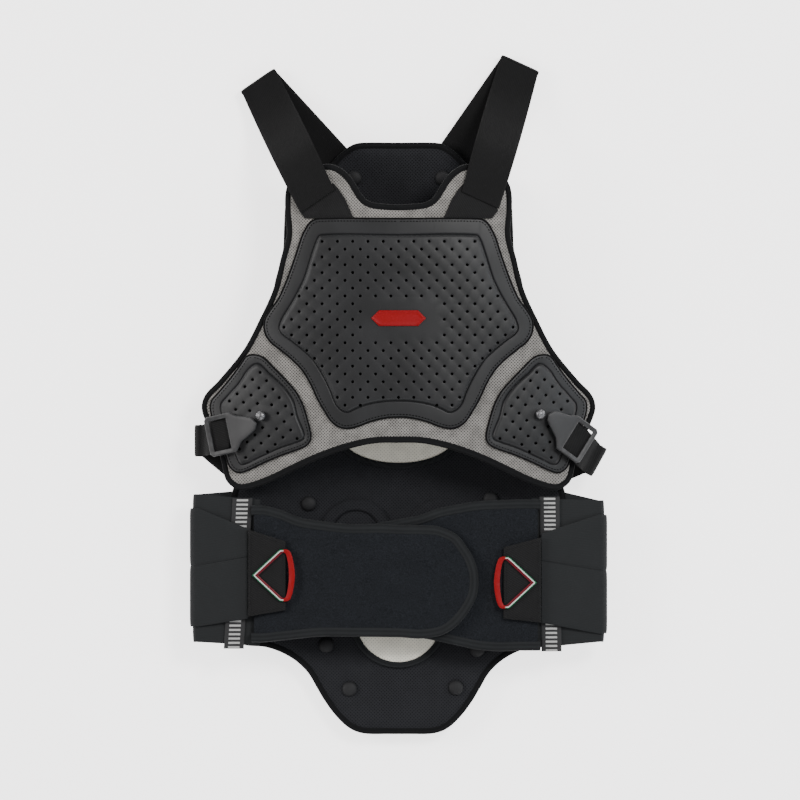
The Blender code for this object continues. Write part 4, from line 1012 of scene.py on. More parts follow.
# %% Plates under the back
UPPER_PLATE_OUTLINE = (
    (0.00, 0.00), (0.46, 0.00), (0.56, 0.03), (0.64, 0.10), (0.88, 0.20), (0.95, 0.36),
    (0.92, 0.60), (0.95, 0.83), (1.00, 0.94), (0.96, 0.99), (0.86, 1.00), (0.00, 1.00),
)
LOWER_PLATE_OUTLINE = (
    (0.00, 0.00), (0.88, 0.00), (0.97, 0.03), (1.00, 0.12), (0.96, 0.42), (0.88, 0.76),
    (0.82, 0.94), (0.72, 1.00), (0.00, 1.00),
)
TAIL_PLATE_OUTLINE = (
    (0.00, 0.00), (0.88, 0.00), (0.99, 0.05), (1.00, 0.16), (0.90, 0.42), (0.72, 0.78),
    (0.58, 0.93), (0.40, 1.00), (0.00, 1.00),
)
BACK_PLATES = (
    ("back_plate_upper", UPPER_PLATE_OUTLINE, 0.100, 0.336, 0.218, level_low),
    ("back_plate_lower", LOWER_PLATE_OUTLINE, 0.102, 0.170, -0.086, level_high),
    ("back_plate_tail", TAIL_PLATE_OUTLINE, 0.081, 0.078, -0.225, level_low),
)


def flat_plate(surface, gauge, radius):
    """Heights of a plate of even gauge with its upper and lower edges rounded."""

    def top(flat, depth):
        return above(surface, gauge)(flat[:, 0], flat[:, 1]) - rounded(depth, radius)

    def bottom(flat, depth):
        return surface(flat[:, 0], flat[:, 1]) + rounded(depth, radius)

    return top, bottom


for name, rows, half_width, length, plate_top, level in BACK_PLATES:
    loop = smooth_loop(mirrored(rows, half_width, length, plate_top))
    top, bottom = flat_plate(level, PLATE_GAUGE, 0.0011)
    panel("shell_" + name[5:], [loop], top, bottom, "plastic", [name], spacing=0.008,
          marks=lambda flat: {"line": np.full(len(flat), 0.01)})

# %% Rivets
profile = [(0.0, RIVET_HEIGHT)]
for angle in (12, 24, 36, 48, 60, 72, 82):
    turn = math.radians(angle)
    profile.append((RIVET_RADIUS * math.sin(turn), RIVET_HEIGHT * math.cos(turn)))
profile += [(RIVET_RADIUS, 0.0), (0.0027, -0.0004), (0.0027, -0.0176), (0.0, -0.0176)]
for name, place in RIVETS.items():
    seat = lying_on(back_face, *on_back(place))
    turned("head_" + name[6:], profile, seat, "rivet", [name])
print("rivets:", len(RIVETS))

# %% [markdown]
# ## Windows and lumbar pads
# Two windows of open mesh are set into the back, each behind a flat ring of tape, and
# two round pads are sewn on where the belt presses.

# %% Windows, rings and lumbar pads
WINDOWS = (
    ("window_upper", (0.0, -0.0365), 0.060, 0.033),
    ("window_lower", (0.0, -0.2127), 0.0458, 0.0458),
)
RING_WIDTH = 0.0055


def oval_loop(centre, half_width, half_height, count=96):
    """An ellipse around a centre."""
    angles = np.arange(count) * math.tau / count
    across, up = half_width * np.cos(angles), half_height * np.sin(angles)
    return np.column_stack((centre[0] + across, centre[1] + up))


for name, centre, half_width, half_height in WINDOWS:
    outer = oval_loop(centre, half_width, half_height)
    hole = oval_loop(centre, half_width - RING_WIDTH, half_height - RING_WIDTH)
    top, bottom = flat_plate(back_face, 0.0026, 0.0012)
    ring = panel(name + "_tape", [outer, hole], top, bottom, "binding", [name + "_ring"],
                 spacing=0.002, edge_rings=(0.0005, 0.0014),
                 marks=lambda flat, c=centre: {
                     "across": np.hypot(flat[:, 0] - c[0], flat[:, 1] - c[1]),
                     "along": np.arctan2(flat[:, 1] - c[1], flat[:, 0] - c[0]) * half_width})
    pane_loop = oval_loop(centre, half_width - RING_WIDTH * 0.8, half_height - RING_WIDTH * 0.8)

    def pane_top(flat, depth):
        sag = 0.0006 * np.sin(np.clip(depth / 0.02, 0, 1) * math.pi / 2)
        return back_face(flat[:, 0], flat[:, 1]) + 0.0006 + sag

    def pane_bottom(flat, depth):
        return back_face(flat[:, 0], flat[:, 1]) + 0.0001

    panel(name + "_mesh", [pane_loop], pane_top, pane_bottom, "window_mesh", [name])

PAD_RADIUS = 0.035
for side, name in ((-1, "left"), (1, "right")):
    centre = (side * 0.0404, -0.1325)
    disc = oval_loop(centre, PAD_RADIUS, PAD_RADIUS)

    def pad_top(flat, depth):
        crown = 0.0031 * np.sin(np.clip(depth / 0.003, 0, 1) * math.pi / 2)
        groove = 0.0022 * np.exp(-((depth - 0.0125) / 0.0011) ** 2)
        return back_face(flat[:, 0], flat[:, 1]) + 0.0002 + crown - groove

    def pad_bottom(flat, depth):
        return back_face(flat[:, 0], flat[:, 1])

    pad = panel("lumbar_cushion_" + name, [disc], pad_top, pad_bottom, "black_mesh",
                ["lumbar_pad_" + name], spacing=0.0035,
                rings=[oval_loop(centre, PAD_RADIUS - inward, PAD_RADIUS - inward)
                       for inward in (0.0105, 0.0118, 0.0125, 0.0132, 0.0145)])
print("windows:", len(WINDOWS))

# %% [markdown]
# ## The chest panel
# The chest is a light spacer mesh between two bound edges. It arches over the body,
# and it crumples a little where the plates stop it from bending.

# %% Chest panel and its binding
CHEST_HALF_WIDTH = 0.1867
CHEST_LENGTH = 0.3088
CHEST_TOP = 0.219
CHEST_TAPE = 0.0064
CHEST_OUTLINE = (
    (0.000, 0.124), (0.074, 0.122), (0.135, 0.117), (0.168, 0.106), (0.193, 0.086),
    (0.216, 0.062), (0.249, 0.034), (0.293, 0.012), (0.346, 0.000), (0.458, 0.009),
    (0.534, 0.037), (0.570, 0.077), (0.575, 0.148), (0.567, 0.215), (0.598, 0.292),
    (0.636, 0.385), (0.705, 0.477), (0.786, 0.569), (0.911, 0.662), (0.982, 0.708),
    (1.000, 0.748), (0.972, 0.800), (0.906, 0.898), (0.878, 0.966), (0.840, 0.991),
    (0.799, 1.000), (0.738, 0.994), (0.639, 0.972), (0.537, 0.942), (0.442, 0.915),
    (0.349, 0.892), (0.247, 0.872), (0.122, 0.856), (0.000, 0.854),
)
chest_loop = smooth_loop(mirrored(CHEST_OUTLINE, CHEST_HALF_WIDTH, CHEST_LENGTH, CHEST_TOP))


PLATE_HALF_WIDTH = 0.1268
PLATE_LENGTH = 0.1976
PLATE_TOP = 0.1667
PLATE_OUTLINE = (
    (0.000, 0.000), (0.590, 0.000), (0.648, 0.012), (0.685, 0.043), (0.719, 0.087),
    (0.753, 0.154), (0.794, 0.231), (0.843, 0.313), (0.895, 0.385), (0.951, 0.433),
    (0.996, 0.486), (0.993, 0.543), (0.951, 0.587), (0.880, 0.623), (0.787, 0.673),
    (0.712, 0.724), (0.655, 0.784), (0.596, 0.865), (0.543, 0.923), (0.498, 0.966),
    (0.438, 0.993), (0.375, 0.999), (0.300, 0.988), (0.210, 0.966), (0.090, 0.948),
    (0.000, 0.945),
)
PLATE_FIELD = (
    (0.000, 0.075), (0.580, 0.075), (0.612, 0.101), (0.652, 0.173), (0.704, 0.279),
    (0.761, 0.356), (0.820, 0.421), (0.876, 0.483), (0.888, 0.534), (0.798, 0.584),
    (0.723, 0.623), (0.642, 0.673), (0.566, 0.748), (0.509, 0.822), (0.470, 0.885),
    (0.427, 0.915), (0.378, 0.925), (0.322, 0.909), (0.232, 0.887), (0.105, 0.873),
    (0.000, 0.870),
)
FLANK_OUTLINE = (
    (0.583, 0.003), (0.482, 0.026), (0.367, 0.120), (0.246, 0.226), (0.151, 0.321),
    (0.085, 0.427), (0.035, 0.564), (0.003, 0.684), (0.015, 0.740), (0.075, 0.782),
    (0.276, 0.844), (0.462, 0.910), (0.668, 0.991), (0.739, 0.996), (0.804, 0.953),
    (0.849, 0.855), (0.920, 0.680), (0.995, 0.496), (0.995, 0.402), (0.930, 0.333),
    (0.814, 0.218), (0.709, 0.098), (0.645, 0.020),
)
FLANK_FIELD = (
    (0.553, 0.077), (0.412, 0.162), (0.261, 0.282), (0.171, 0.399), (0.131, 0.527),
    (0.070, 0.656), (0.064, 0.709), (0.111, 0.735), (0.312, 0.795), (0.500, 0.868),
    (0.683, 0.935), (0.734, 0.897), (0.820, 0.670), (0.905, 0.444), (0.830, 0.345),
    (0.744, 0.264),
)
STUDS = {"stud_left": (-0.808, 0.461), "stud_right": (0.832, 0.458)}


def flank_line(side, rows, step=0.0025):
    """An outline of a flank plate on one side."""
    return smooth_loop([(side * (0.0831 + x * 0.0945), 0.0385 - y * 0.1112) for x, y in rows], step)


plate_loop = smooth_loop(mirrored(PLATE_OUTLINE, PLATE_HALF_WIDTH, PLATE_LENGTH, PLATE_TOP), 0.0025)
flank_loops = {side: flank_line(side, FLANK_OUTLINE) for side in (-1, 1)}


def covered_by_plates(flat):
    """1 where a plate hides the mesh, which is painted near-black there as the shade seen through the
    plate's holes.
    """
    under = np.zeros(len(flat))
    for loop in (plate_loop, *flank_loops.values()):
        gap, _ = distance_to(flat, loop)
        under = np.maximum(under, inside(flat, loop) * smooth_step((gap - 0.002) / 0.003))
    return under


def chest_relief(flat, depth):
    """Soft lumps, and creases that run from the flank plates to the middle."""
    x, y = flat[:, 0], flat[:, 1]
    lumps = swell_noise(flat, 0.012, 8)
    below = smooth_step((-0.005 - y) / 0.03)
    crease = np.sin((y + 0.25 * np.abs(x)) * 260.0) * np.exp(-((np.abs(x) - 0.055) / 0.03) ** 2)
    return (0.0004 * lumps + 0.0006 * crease * below) * smooth_step(depth / 0.008)


rim = inset(chest_loop, 0.55 * CHEST_TAPE)
chest_top, chest_bottom = padding(chest_middle, CHEST_GAUGE, 0.003, 0.009, chest_relief)
chest = panel("chest_cover", [rim], chest_top, chest_bottom, "silver_mesh", ["chest_panel"],
              spacing=0.003, marks=lambda flat: {"covered": covered_by_plates(flat)})
binding("chest_tape", chest_loop, chest_middle, CHEST_TAPE, CHEST_TAPE, ["chest_panel_binding"])
print("chest panel:", len(chest.data.polygons), "faces")

# %% [markdown]
# ## Moulded plates
# Each plate has a flat flange, which is sewn on along its edge, and a raised field
# inside a sunk line. The field is pierced by a staggered grid of small holes. The
# holes are real: their loops are left open in the net, and the surface dips a little
# towards each of them.

# %% Chest plate and flank plates
HOLE_RADIUS = 0.00145
LINE_OFFSETS = (-0.0018, -0.0009, -0.0004, 0.0004, 0.0009, 0.0018, 0.003, 0.005)
FLANGE = 0.0019


def holes_in(field, columns, row_gap, centre, turn, margin, kept_clear):
    """Centres of a staggered grid of holes inside a field and clear of some boxes."""
    cosine, sine = math.cos(math.radians(turn)), math.sin(math.radians(turn))
    places = []
    for row in range(-30, 31):
        for column in range(-20, 21):
            across = (column + 0.5 * (row % 2)) * columns
            down = row * row_gap
            x, y = across * cosine - down * sine, across * sine + down * cosine
            places.append((centre[0] + x, centre[1] + y))
    places = np.array(places)
    gap, _ = distance_to(places, field)
    keep = inside(places, field) & (gap > margin)
    for x, y, half_width, half_height in kept_clear:
        keep &= (np.abs(places[:, 0] - x) > half_width) | (np.abs(places[:, 1] - y) > half_height)
    return places[keep]


def moulded(name, outline, field, gauge, places, replaces, crown=0.0008):
    """A plate with a flange, a sunk line, a raised field and its holes."""
    circles = [oval_loop(place, HOLE_RADIUS, HOLE_RADIUS, HOLE_CORNERS) for place in places]
    lips = [oval_loop(place, HOLE_RADIUS * size, HOLE_RADIUS * size, HOLE_CORNERS)
            for place in places for size in (1.3, 1.8)]
    lines = [inset(field, offset) for offset in LINE_OFFSETS]

    def into_field(flat):
        gap, _ = distance_to(flat, field)
        return np.where(inside(flat, field), gap, -gap)

    def top(flat, depth):
        into = into_field(flat)
        level = FLANGE + (gauge - FLANGE - crown) * smooth_step((into - 0.0002) / 0.0024)
        level += crown * np.sin(np.clip(into / 0.03, 0, 1) * math.pi / 2)
        level -= 0.0009 * np.exp(-(into / 0.00045) ** 2)
        level += 0.0004 * np.exp(-((into + 0.006) / 0.004) ** 2)
        if len(places):
            level -= 0.00022 * (1 - smooth_step((near(flat, places) - HOLE_RADIUS) / 0.0011))
        return above(chest_face, 1.0e-6)(flat[:, 0], flat[:, 1]) + level - rounded(depth, 0.0010)

    def bottom(flat, depth):
        return chest_face(flat[:, 0], flat[:, 1])

    return panel(
        name, [outline, *circles], top, bottom, "plastic", replaces,
        rings=[field, *lines, *lips], marks=lambda flat: {"line": np.abs(into_field(flat))},
    )


plate_field = smooth_loop(mirrored(PLATE_FIELD, PLATE_HALF_WIDTH, PLATE_LENGTH, PLATE_TOP), 0.0018)
BADGE = (0.0, 0.073, 0.026, 0.0075)
FIRST_ROW = 0.1456
ROW_GAP = 0.00737
COLUMN_GAP = 0.01444
badge_clear = (0.0024, 0.0727, 0.0340, 0.0175)
plate_holes = holes_in(plate_field, COLUMN_GAP, ROW_GAP, (0.0, FIRST_ROW), 0.0, 0.0016, [badge_clear])
plate = moulded("chest_shell", plate_loop, plate_field, 0.0045, plate_holes, ["chest_plate"])
print("chest plate:", len(plate_holes), "holes,", len(plate.data.polygons), "faces")
sewn = []
SEAM_INSET = 0.0021
PIPING_RADIUS = 0.0011


def sewn_edge(name, loop):
    """Dark piping round a plate, and the path of the stitches inside it."""
    path = inset(loop, -0.0002)
    heights = chest_face(path[:, 0], path[:, 1]) + PIPING_RADIUS
    ahead = np.roll(path, -1, axis=0) - np.roll(path, 1, axis=0)
    outward = np.column_stack((ahead[:, 1], -ahead[:, 0], 0 * heights)) * turning(path)
    section = flat_oval(2 * PIPING_RADIUS, 1.6 * PIPING_RADIUS, 10, 1.0)
    tube(name, np.column_stack((path, heights)), outward, section, "seam_thread")
    sewn.append(on_surface(inset(loop, SEAM_INSET), above(chest_face, FLANGE + 0.0001)))


sewn_edge("chest_shell_piping", plate_loop)
FLANK_COLUMN_GAP = 0.0134
FLANK_ROW_GAP = 0.00741
FLANK_HOLE = (0.1334, -0.0077)
for side, name in ((-1, "left"), (1, "right")):
    flank_loop, flank_field = flank_loops[side], flank_line(side, FLANK_FIELD, 0.0018)
    stud_x, stud_y = on_back(STUDS["stud_" + name])
    anchor = (side * FLANK_HOLE[0], FLANK_HOLE[1])
    places = holes_in(flank_field, FLANK_COLUMN_GAP, FLANK_ROW_GAP, anchor, side * 5.0, 0.0016,
                      [(stud_x, stud_y, 0.008, 0.008)])
    moulded("flank_shell_" + name, flank_loop, flank_field, 0.004, places, ["flank_plate_" + name], 0.0006)
    sewn_edge("flank_piping_" + name, flank_loop)
stitches("plate_stitches", sewn, 0.0030, 0.0020, 0.0005, "seam_thread")

# %% The badge and the strap patches
x, y, half_width, half_height = BADGE
shoulder = half_width - half_height
badge_corners = [(half_width, 0.0), (shoulder, half_height), (-shoulder, half_height),
                 (-half_width, 0.0), (-shoulder, -half_height), (shoulder, -half_height)]


def straight_loop(corners, step=0.002):
    """A closed loop with straight sides and a point about every step."""
    corners = np.array(corners)
    made = []
    for start, end in zip(corners, np.roll(corners, -1, axis=0)):
        parts = max(1, round(np.linalg.norm(end - start) / step))
        made += [start + (end - start) * part / parts for part in range(parts)]
    return np.array(made)


badge_loop = straight_loop([(x + a, y + b) for a, b in badge_corners])
badge_seat = above(chest_face, 0.0045 + 0.0001)


def badge_top(flat, depth):
    rail = 0.0004 * np.exp(-((depth - 0.0014) / 0.0006) ** 2)
    return badge_seat(flat[:, 0], flat[:, 1]) + 0.0014 - rounded(depth, 0.0007) + rail


def badge_bottom(flat, depth):
    return badge_seat(flat[:, 0], flat[:, 1]) - 0.0012


panel("badge_bar", [badge_loop], badge_top, badge_bottom, "rubber", ["chest_badge"],
      spacing=0.0016, edge_rings=(0.0003, 0.0008, 0.0014, 0.002))
PATCH_OUTLINE = (
    (0.00, 0.00), (0.16, 0.56), (0.29, 0.85), (0.37, 0.98), (0.98, 0.42), (0.99, 0.20),
    (0.88, 0.00),
)
PATCH_X = 0.0425
PATCH_Y = 0.1674
PATCH_WIDTH = 0.052
PATCH_HEIGHT = 0.034
PATCH_GAUGE = 0.0014
patch_paths = []
for side, name in ((-1, "left"), (1, "right")):
    corners = [(side * (PATCH_X + a * PATCH_WIDTH), PATCH_Y + b * PATCH_HEIGHT) for a, b in PATCH_OUTLINE]
    patch_loop = straight_loop(corners)
    top, bottom = flat_plate(chest_face, PATCH_GAUGE, 0.0005)
    panel("patch_" + name, [patch_loop], top, bottom, "webbing", ["strap_patch_" + name],
          spacing=0.004, marks=lambda flat: {"across": flat[:, 0], "along": flat[:, 1]})
    patch_paths.append(on_surface(inset(patch_loop, 0.0022), above(chest_face, PATCH_GAUGE)))
stitches("patch_stitches", patch_paths, 0.0026, 0.0018, 0.0003)

# %% [markdown]
# ## Straps
# Each shoulder strap runs out over the chest panel's corner, folds over and comes
# back under the neck of the back panel. The side straps do the same at the waist.
# They are bands through a few cross lines, with a smooth curve between them.

# %% Folded straps
SHOULDER_STRAPS = (
    ("shoulder_strap_left", (-0.481, 0.100), (-0.835, -0.105), (-0.345, 0.048), 34.5),
    ("shoulder_strap_right", (0.484, 0.098), (0.723, -0.133), (0.290, 0.046), -24.6),
)
SIDE_STRAPS = (
    ("side_webbing_left", (-1.000, 0.488), (-1.203, 0.503), (-0.940, 0.556), -90.0,
              (-1.056, 0.493), -12.0),
    ("side_webbing_right", (1.004, 0.490), (1.186, 0.5395), (0.930, 0.560), 61.0,
              (1.061, 0.5015), 34.0),
)
STRAP_WIDTH = 0.0385
STRAP_GAUGE = 0.0022
STRAP_FOLD_RADIUS = 0.0032
STRAP_FOLD_HEIGHT = 0.0088
STRAP_HELD_SHARE = 0.28
WEBBING_WIDTH = 0.029
WEBBING_GAUGE = 0.002
WEBBING_FOLD_RADIUS = 0.006
WEBBING_HELD_SHARE = 0.65
STRAP_SWELL = 0.06
TAIL_SEATED_SHARE = 0.8
strap_face = above(chest_face, PATCH_GAUGE + LAYER_GAP + STRAP_GAUGE / 2)
flank_face = above(chest_face, 0.004 + LAYER_GAP)
webbing_face = above(flank_face, WEBBING_GAUGE / 2)
strap_tail_face = above(back_under, -LAYER_GAP - STRAP_GAUGE / 2)
webbing_tail_face = above(back_under, -LAYER_GAP - WEBBING_GAUGE / 2)


def folded_rows(anchor, fold, tail, fold_line, width, radius, faces, fold_level, held):
    """Cross lines of a strap that runs out from its anchor, folds over and runs back."""
    anchor, fold, tail = (np.array(on_back(place)) for place in (anchor, fold, tail))
    line = np.array((math.cos(math.radians(fold_line)), math.sin(math.radians(fold_line))))
    out = (fold - anchor) / np.linalg.norm(fold - anchor)
    across = np.array((-out[1], out[0]))
    half = line * (width / 2 / abs(line @ across))
    outward = np.array((-line[1], line[0]))
    outward = outward if outward @ out > 0 else -outward
    bend = fold - outward * radius
    rows = []
    for share in np.linspace(0, 1, 9):
        reach = half * (1 + STRAP_SWELL * math.sin(math.pi * share))
        middle = anchor + (bend - anchor) * share
        free = smooth_step((share - held) / (1 - held))
        row = []
        for x, y in (middle - reach, middle + reach):
            row.append((x, y, faces[0](x, y) * (1 - free) + (fold_level + radius) * free))
        rows.append(row)
    for angle in (60, 30, 0, -30, -60):
        middle = bend + outward * (radius * math.cos(math.radians(angle)))
        height = fold_level + radius * math.sin(math.radians(angle))
        rows.append([(*(middle - half), height), (*(middle + half), height)])
    for share in np.linspace(0, 1, 6):
        middle = bend + (tail - bend) * share
        seated = smooth_step(share / TAIL_SEATED_SHARE)
        row = []
        for x, y in (middle - half, middle + half):
            row.append((x, y, (fold_level - radius) * (1 - seated) + faces[1](x, y) * seated))
        rows.append(row)
    return rows


for name, anchor, fold, tail, fold_line in SHOULDER_STRAPS:
    rows = folded_rows(anchor, fold, tail, fold_line, STRAP_WIDTH, STRAP_FOLD_RADIUS,
                       (strap_face, strap_tail_face), STRAP_FOLD_HEIGHT, STRAP_HELD_SHARE)
    band("elastic_" + name[9:], rows, STRAP_GAUGE, "elastic", [name], parts=5)
for name, anchor, fold, tail, fold_line, _, _ in SIDE_STRAPS:
    level = float(chest_middle(*on_back(fold)))
    rows = folded_rows(anchor, fold, tail, fold_line, WEBBING_WIDTH, WEBBING_FOLD_RADIUS,
                       (webbing_face, webbing_tail_face), level, WEBBING_HELD_SHARE)
    band("strap_" + name[5:], rows, WEBBING_GAUGE, "webbing", [name], parts=5)

# %% [markdown]
# ## Buckles and studs
# A side strap ends in a flat moulded frame, whose tongue hooks over a metal stud on
# the flank plate. Frame and tongue are one moulding, so they are one outline with a
# window in it, and its edges are rounded.

# %% Buckles and studs
BUCKLE_LENGTH = 0.038
BUCKLE_DEPTH = 0.027
BUCKLE_BAR = 0.0043
BUCKLE_GAUGE = 0.0036
TONGUE_REACH = 0.026
TONGUE_OUTLINE = (
    (0.00, -1.00), (0.26, -0.76), (0.62, -0.60), (0.86, -0.48), (1.00, -0.16),
    (0.90, 0.12), (0.50, 0.42), (0.26, 0.56), (0.12, 0.80), (0.00, 1.00),
)
buckle_face = above(flank_face, WEBBING_GAUGE + LAYER_GAP + BUCKLE_GAUGE / 2)


def even_height(height, radius):
    """Top or bottom of a flat moulding with rounded edges."""
    return lambda flat, depth: height - math.copysign(1.0, height) * rounded(depth, radius)


for name, anchor, fold, tail, fold_line, place, turn in SIDE_STRAPS:
    side = -1 if name.endswith("left") else 1
    half_length, half_depth, corner = BUCKLE_LENGTH / 2, BUCKLE_DEPTH / 2, 0.0028
    tongue = [(half_depth + a * TONGUE_REACH, b * half_length) for a, b in TONGUE_OUTLINE]
    corners = [
        (-half_depth, half_length - corner), (-half_depth, corner - half_length),
        (corner - half_depth, -half_length), (half_depth - corner, -half_length), *tongue,
        (half_depth - corner, half_length), (corner - half_depth, half_length),
    ]
    inner_length, inner_depth = half_length - BUCKLE_BAR, half_depth - BUCKLE_BAR
    window = [(-inner_depth, -inner_length), (-inner_depth, inner_length),
              (inner_depth, inner_length), (inner_depth, -inner_length)]
    outline, window = (
        straight_loop([(-side * a, -b) for a, b in points], 0.0012) for points in (corners, window)
    )
    piece = panel(
        "clip_" + name[13:], [outline, window], even_height(BUCKLE_GAUGE / 2, 0.0012),
        even_height(-BUCKLE_GAUGE / 2, 0.0008), "buckle", ["buckle_" + name[13:]],
        spacing=0.002, edge_rings=(0.0003, 0.0007, 0.0012),
        marks=lambda flat: {"line": np.full(len(flat), 0.01)}, sharp=55.0,
    )
    piece.data.transform(lying_on(buckle_face, *on_back(place), -turn))

STUD_RADIUS = 0.0048
STUD_HEIGHT = 0.0075
profile = [(0.0, STUD_HEIGHT)]
for angle in range(10, 100, 10):
    turn = math.radians(angle)
    profile.append((STUD_RADIUS * math.sin(turn), STUD_HEIGHT - STUD_RADIUS * 0.8 * (1 - math.cos(turn))))
profile += [(STUD_RADIUS * 0.8, 0.0), (0.0, 0.0)]
for name, place in STUDS.items():
    seat = lying_on(flank_face, *on_back(place))
    turned("dome_" + name[5:], profile, seat, "metal", [name])
print("buckles and studs: 4")

# %% [markdown]
# ## The belt
# Two padded panels of loop fabric close over the waist, the left one on top. Outside
# them, elastic runs round each side to the back, with a strip of reflective tape and
# two crossing tension bands that end in a pull tab.

# %% Belt surfaces and panels
BELT_HALF_WIDTH = 0.1952
BELT_TOP = -0.0983
BELT_HEIGHT = 0.1435
BELT_GAUGE = 0.006
BELT_TAPE = 0.0092
BELT_TAPE_GAUGE = 0.0066
LAP_STEP = 0.0037
SIDE_GAUGE = 0.002
SIDE_FOLD_RADIUS = 0.0045
SIDE_FOLD_HEIGHT = 0.033
BELT_OVER_OUTLINE = (
    (0.012, 0.008), (0.112, 0.036), (0.205, 0.094), (0.295, 0.119), (0.424, 0.142),
    (0.563, 0.141), (0.652, 0.148), (0.786, 0.152), (0.830, 0.162), (0.904, 0.217),
    (0.948, 0.303), (0.982, 0.397), (1.000, 0.509), (0.996, 0.640), (0.973, 0.732),
    (0.929, 0.834), (0.882, 0.905), (0.830, 0.946), (0.741, 0.966), (0.652, 0.957),
    (0.429, 0.953), (0.295, 0.953), (0.205, 0.967), (0.116, 0.982), (0.012, 0.994),
    (0.000, 0.960), (0.000, 0.500), (0.000, 0.050),
)
BELT_UNDER_OUTLINE = (
    (0.012, 0.003), (0.209, 0.003), (0.311, 0.009), (0.413, 0.029), (0.515, 0.056),
    (0.617, 0.102), (0.719, 0.127), (0.872, 0.175), (0.964, 0.301), (1.000, 0.499),
    (0.974, 0.665), (0.898, 0.797), (0.770, 0.877), (0.643, 0.903), (0.515, 0.934),
    (0.413, 0.963), (0.311, 0.989), (0.209, 0.999), (0.107, 0.996), (0.012, 0.988),
    (0.000, 0.950), (0.000, 0.500), (0.000, 0.045),
)
BeltSide = namedtuple(
    "BeltSide",
    "name sign panel_end nose tape_top tape_foot tab_root tab_tip base_fold base_inner "
    "band_fold band_inner tab_root_ends tab_tip_ends pull_point pull_level",
)
BELT_SIDES = (
    BeltSide("left", -1, 0.703, -0.387, 0.757, 0.800, 0.732, 0.547, (-0.033, 0.944),
             (0.003, 0.967), (0.060, 0.437, 0.841), (0.195, 0.381, 0.788),
             (0.199, 0.775), (0.278, 0.732), 0.712, 0.502),
    BeltSide("right", 1, 0.677, -0.260, 0.733, 0.743, 0.694, 0.509, (0.007, 0.943),
             (-0.007, 0.985), (0.102, 0.470, 0.887), (0.225, 0.406, 0.815),
             (0.252, 0.815), (0.318, 0.788), 0.672, 0.550),
)


def belt_point(across, down):
    """A point of the belt from its shares of the half width and height."""
    return across * BELT_HALF_WIDTH, BELT_TOP - down * BELT_HEIGHT


def over_surface(x, y):
    """Middle of the left belt panel, which climbs over the right one."""
    return belt_middle(x, y) + LAP_STEP * smooth_step((x / BELT_HALF_WIDTH + 0.52) / 0.22)


def under_surface(x, y):
    """Middle of the right belt panel, which dips under the left one."""
    return belt_middle(x, y) - LAP_STEP * smooth_step((0.62 - x / BELT_HALF_WIDTH) / 0.20)


def belt_relief(flat, depth):
    """Soft lumps of the padding."""
    return 0.0004 * swell_noise(flat, 0.016, 5) * smooth_step(depth / 0.01)


def to_the_end(loop, sign, edge_x, reach):
    """A loop whose outer end runs square to the end of the panel."""
    moved = loop.copy()
    moved[sign * loop[:, 0] > edge_x - reach, 0] = sign * (edge_x - 0.0003)
    return moved


BELT_LOOKS = {
    "left": (over_surface, BELT_OVER_OUTLINE, 0.033, 0.917),
    "right": (under_surface, BELT_UNDER_OUTLINE, 0.004, 1.0),
}
for side in BELT_SIDES:
    surface, rows, first, height = BELT_LOOKS[side.name]
    end, nose = side.sign * side.panel_end, side.sign * side.nose
    belt_loop = smooth_loop([belt_point(end + (nose - end) * a, first + b * height) for a, b in rows])
    edge_x = side.panel_end * BELT_HALF_WIDTH
    rim = to_the_end(inset(belt_loop, 0.55 * BELT_TAPE), side.sign, edge_x, 0.75 * BELT_TAPE)
    top, bottom = padding(surface, BELT_GAUGE, 0.003, 0.010, belt_relief)
    name = "belt_panel_" + side.name
    pad = panel("waist_pad_" + side.name, [rim], top, bottom, "loop_fabric", [name])
    points = np.array([vertex.co for vertex in pad.data.vertices])
    gap, _ = distance_to(points[:, :2], rim)
    under_tab = side.sign * points[:, 0] > side.tab_tip * BELT_HALF_WIDTH - 0.004
    swollen(pad, (gap < 0.004) | under_tab, 0.0008)
    path = inset(belt_loop, BELT_TAPE / 2)
    hidden = side.sign * path[:, 0] > edge_x - 0.9 * BELT_TAPE
    first_shown = np.flatnonzero(hidden & ~np.roll(hidden, -1))[0] + 1
    path = np.roll(path, -first_shown, axis=0)[: np.count_nonzero(~hidden)]
    caps = path[[0, -1]].copy()
    caps[:, 0] = side.sign * (edge_x + 0.002)
    path = np.concatenate((caps[:1], path, caps[1:]))
    heights = surface(path[:, 0], path[:, 1])
    ahead = np.gradient(path, axis=0)
    outward = np.column_stack((ahead[:, 1], -ahead[:, 0], 0 * heights)) * turning(belt_loop)
    section = flat_oval(BELT_TAPE, BELT_TAPE_GAUGE)
    tube("waist_tape_" + side.name, np.column_stack((path, heights)), outward, section,
         "binding", [name + "_binding"], closed=False)


# %% Elastic sides, bands and tape
SIDE_INNER_SHARE = 0.70
SIDE_OUTER_SHARE = 0.96


def side_front(across):
    """Height of the belt's elastic side in front, at a share of the half width."""
    fold = SIDE_FOLD_HEIGHT + SIDE_FOLD_RADIUS
    under_belt = BELT_TAPE_GAUGE / 2 + LAYER_GAP + SIDE_GAUGE / 2
    inner = float(belt_middle(SIDE_INNER_SHARE * BELT_HALF_WIDTH, 0.0)) - under_belt
    return fold + (inner - fold) * (SIDE_OUTER_SHARE - across) / (SIDE_OUTER_SHARE - SIDE_INNER_SHARE)


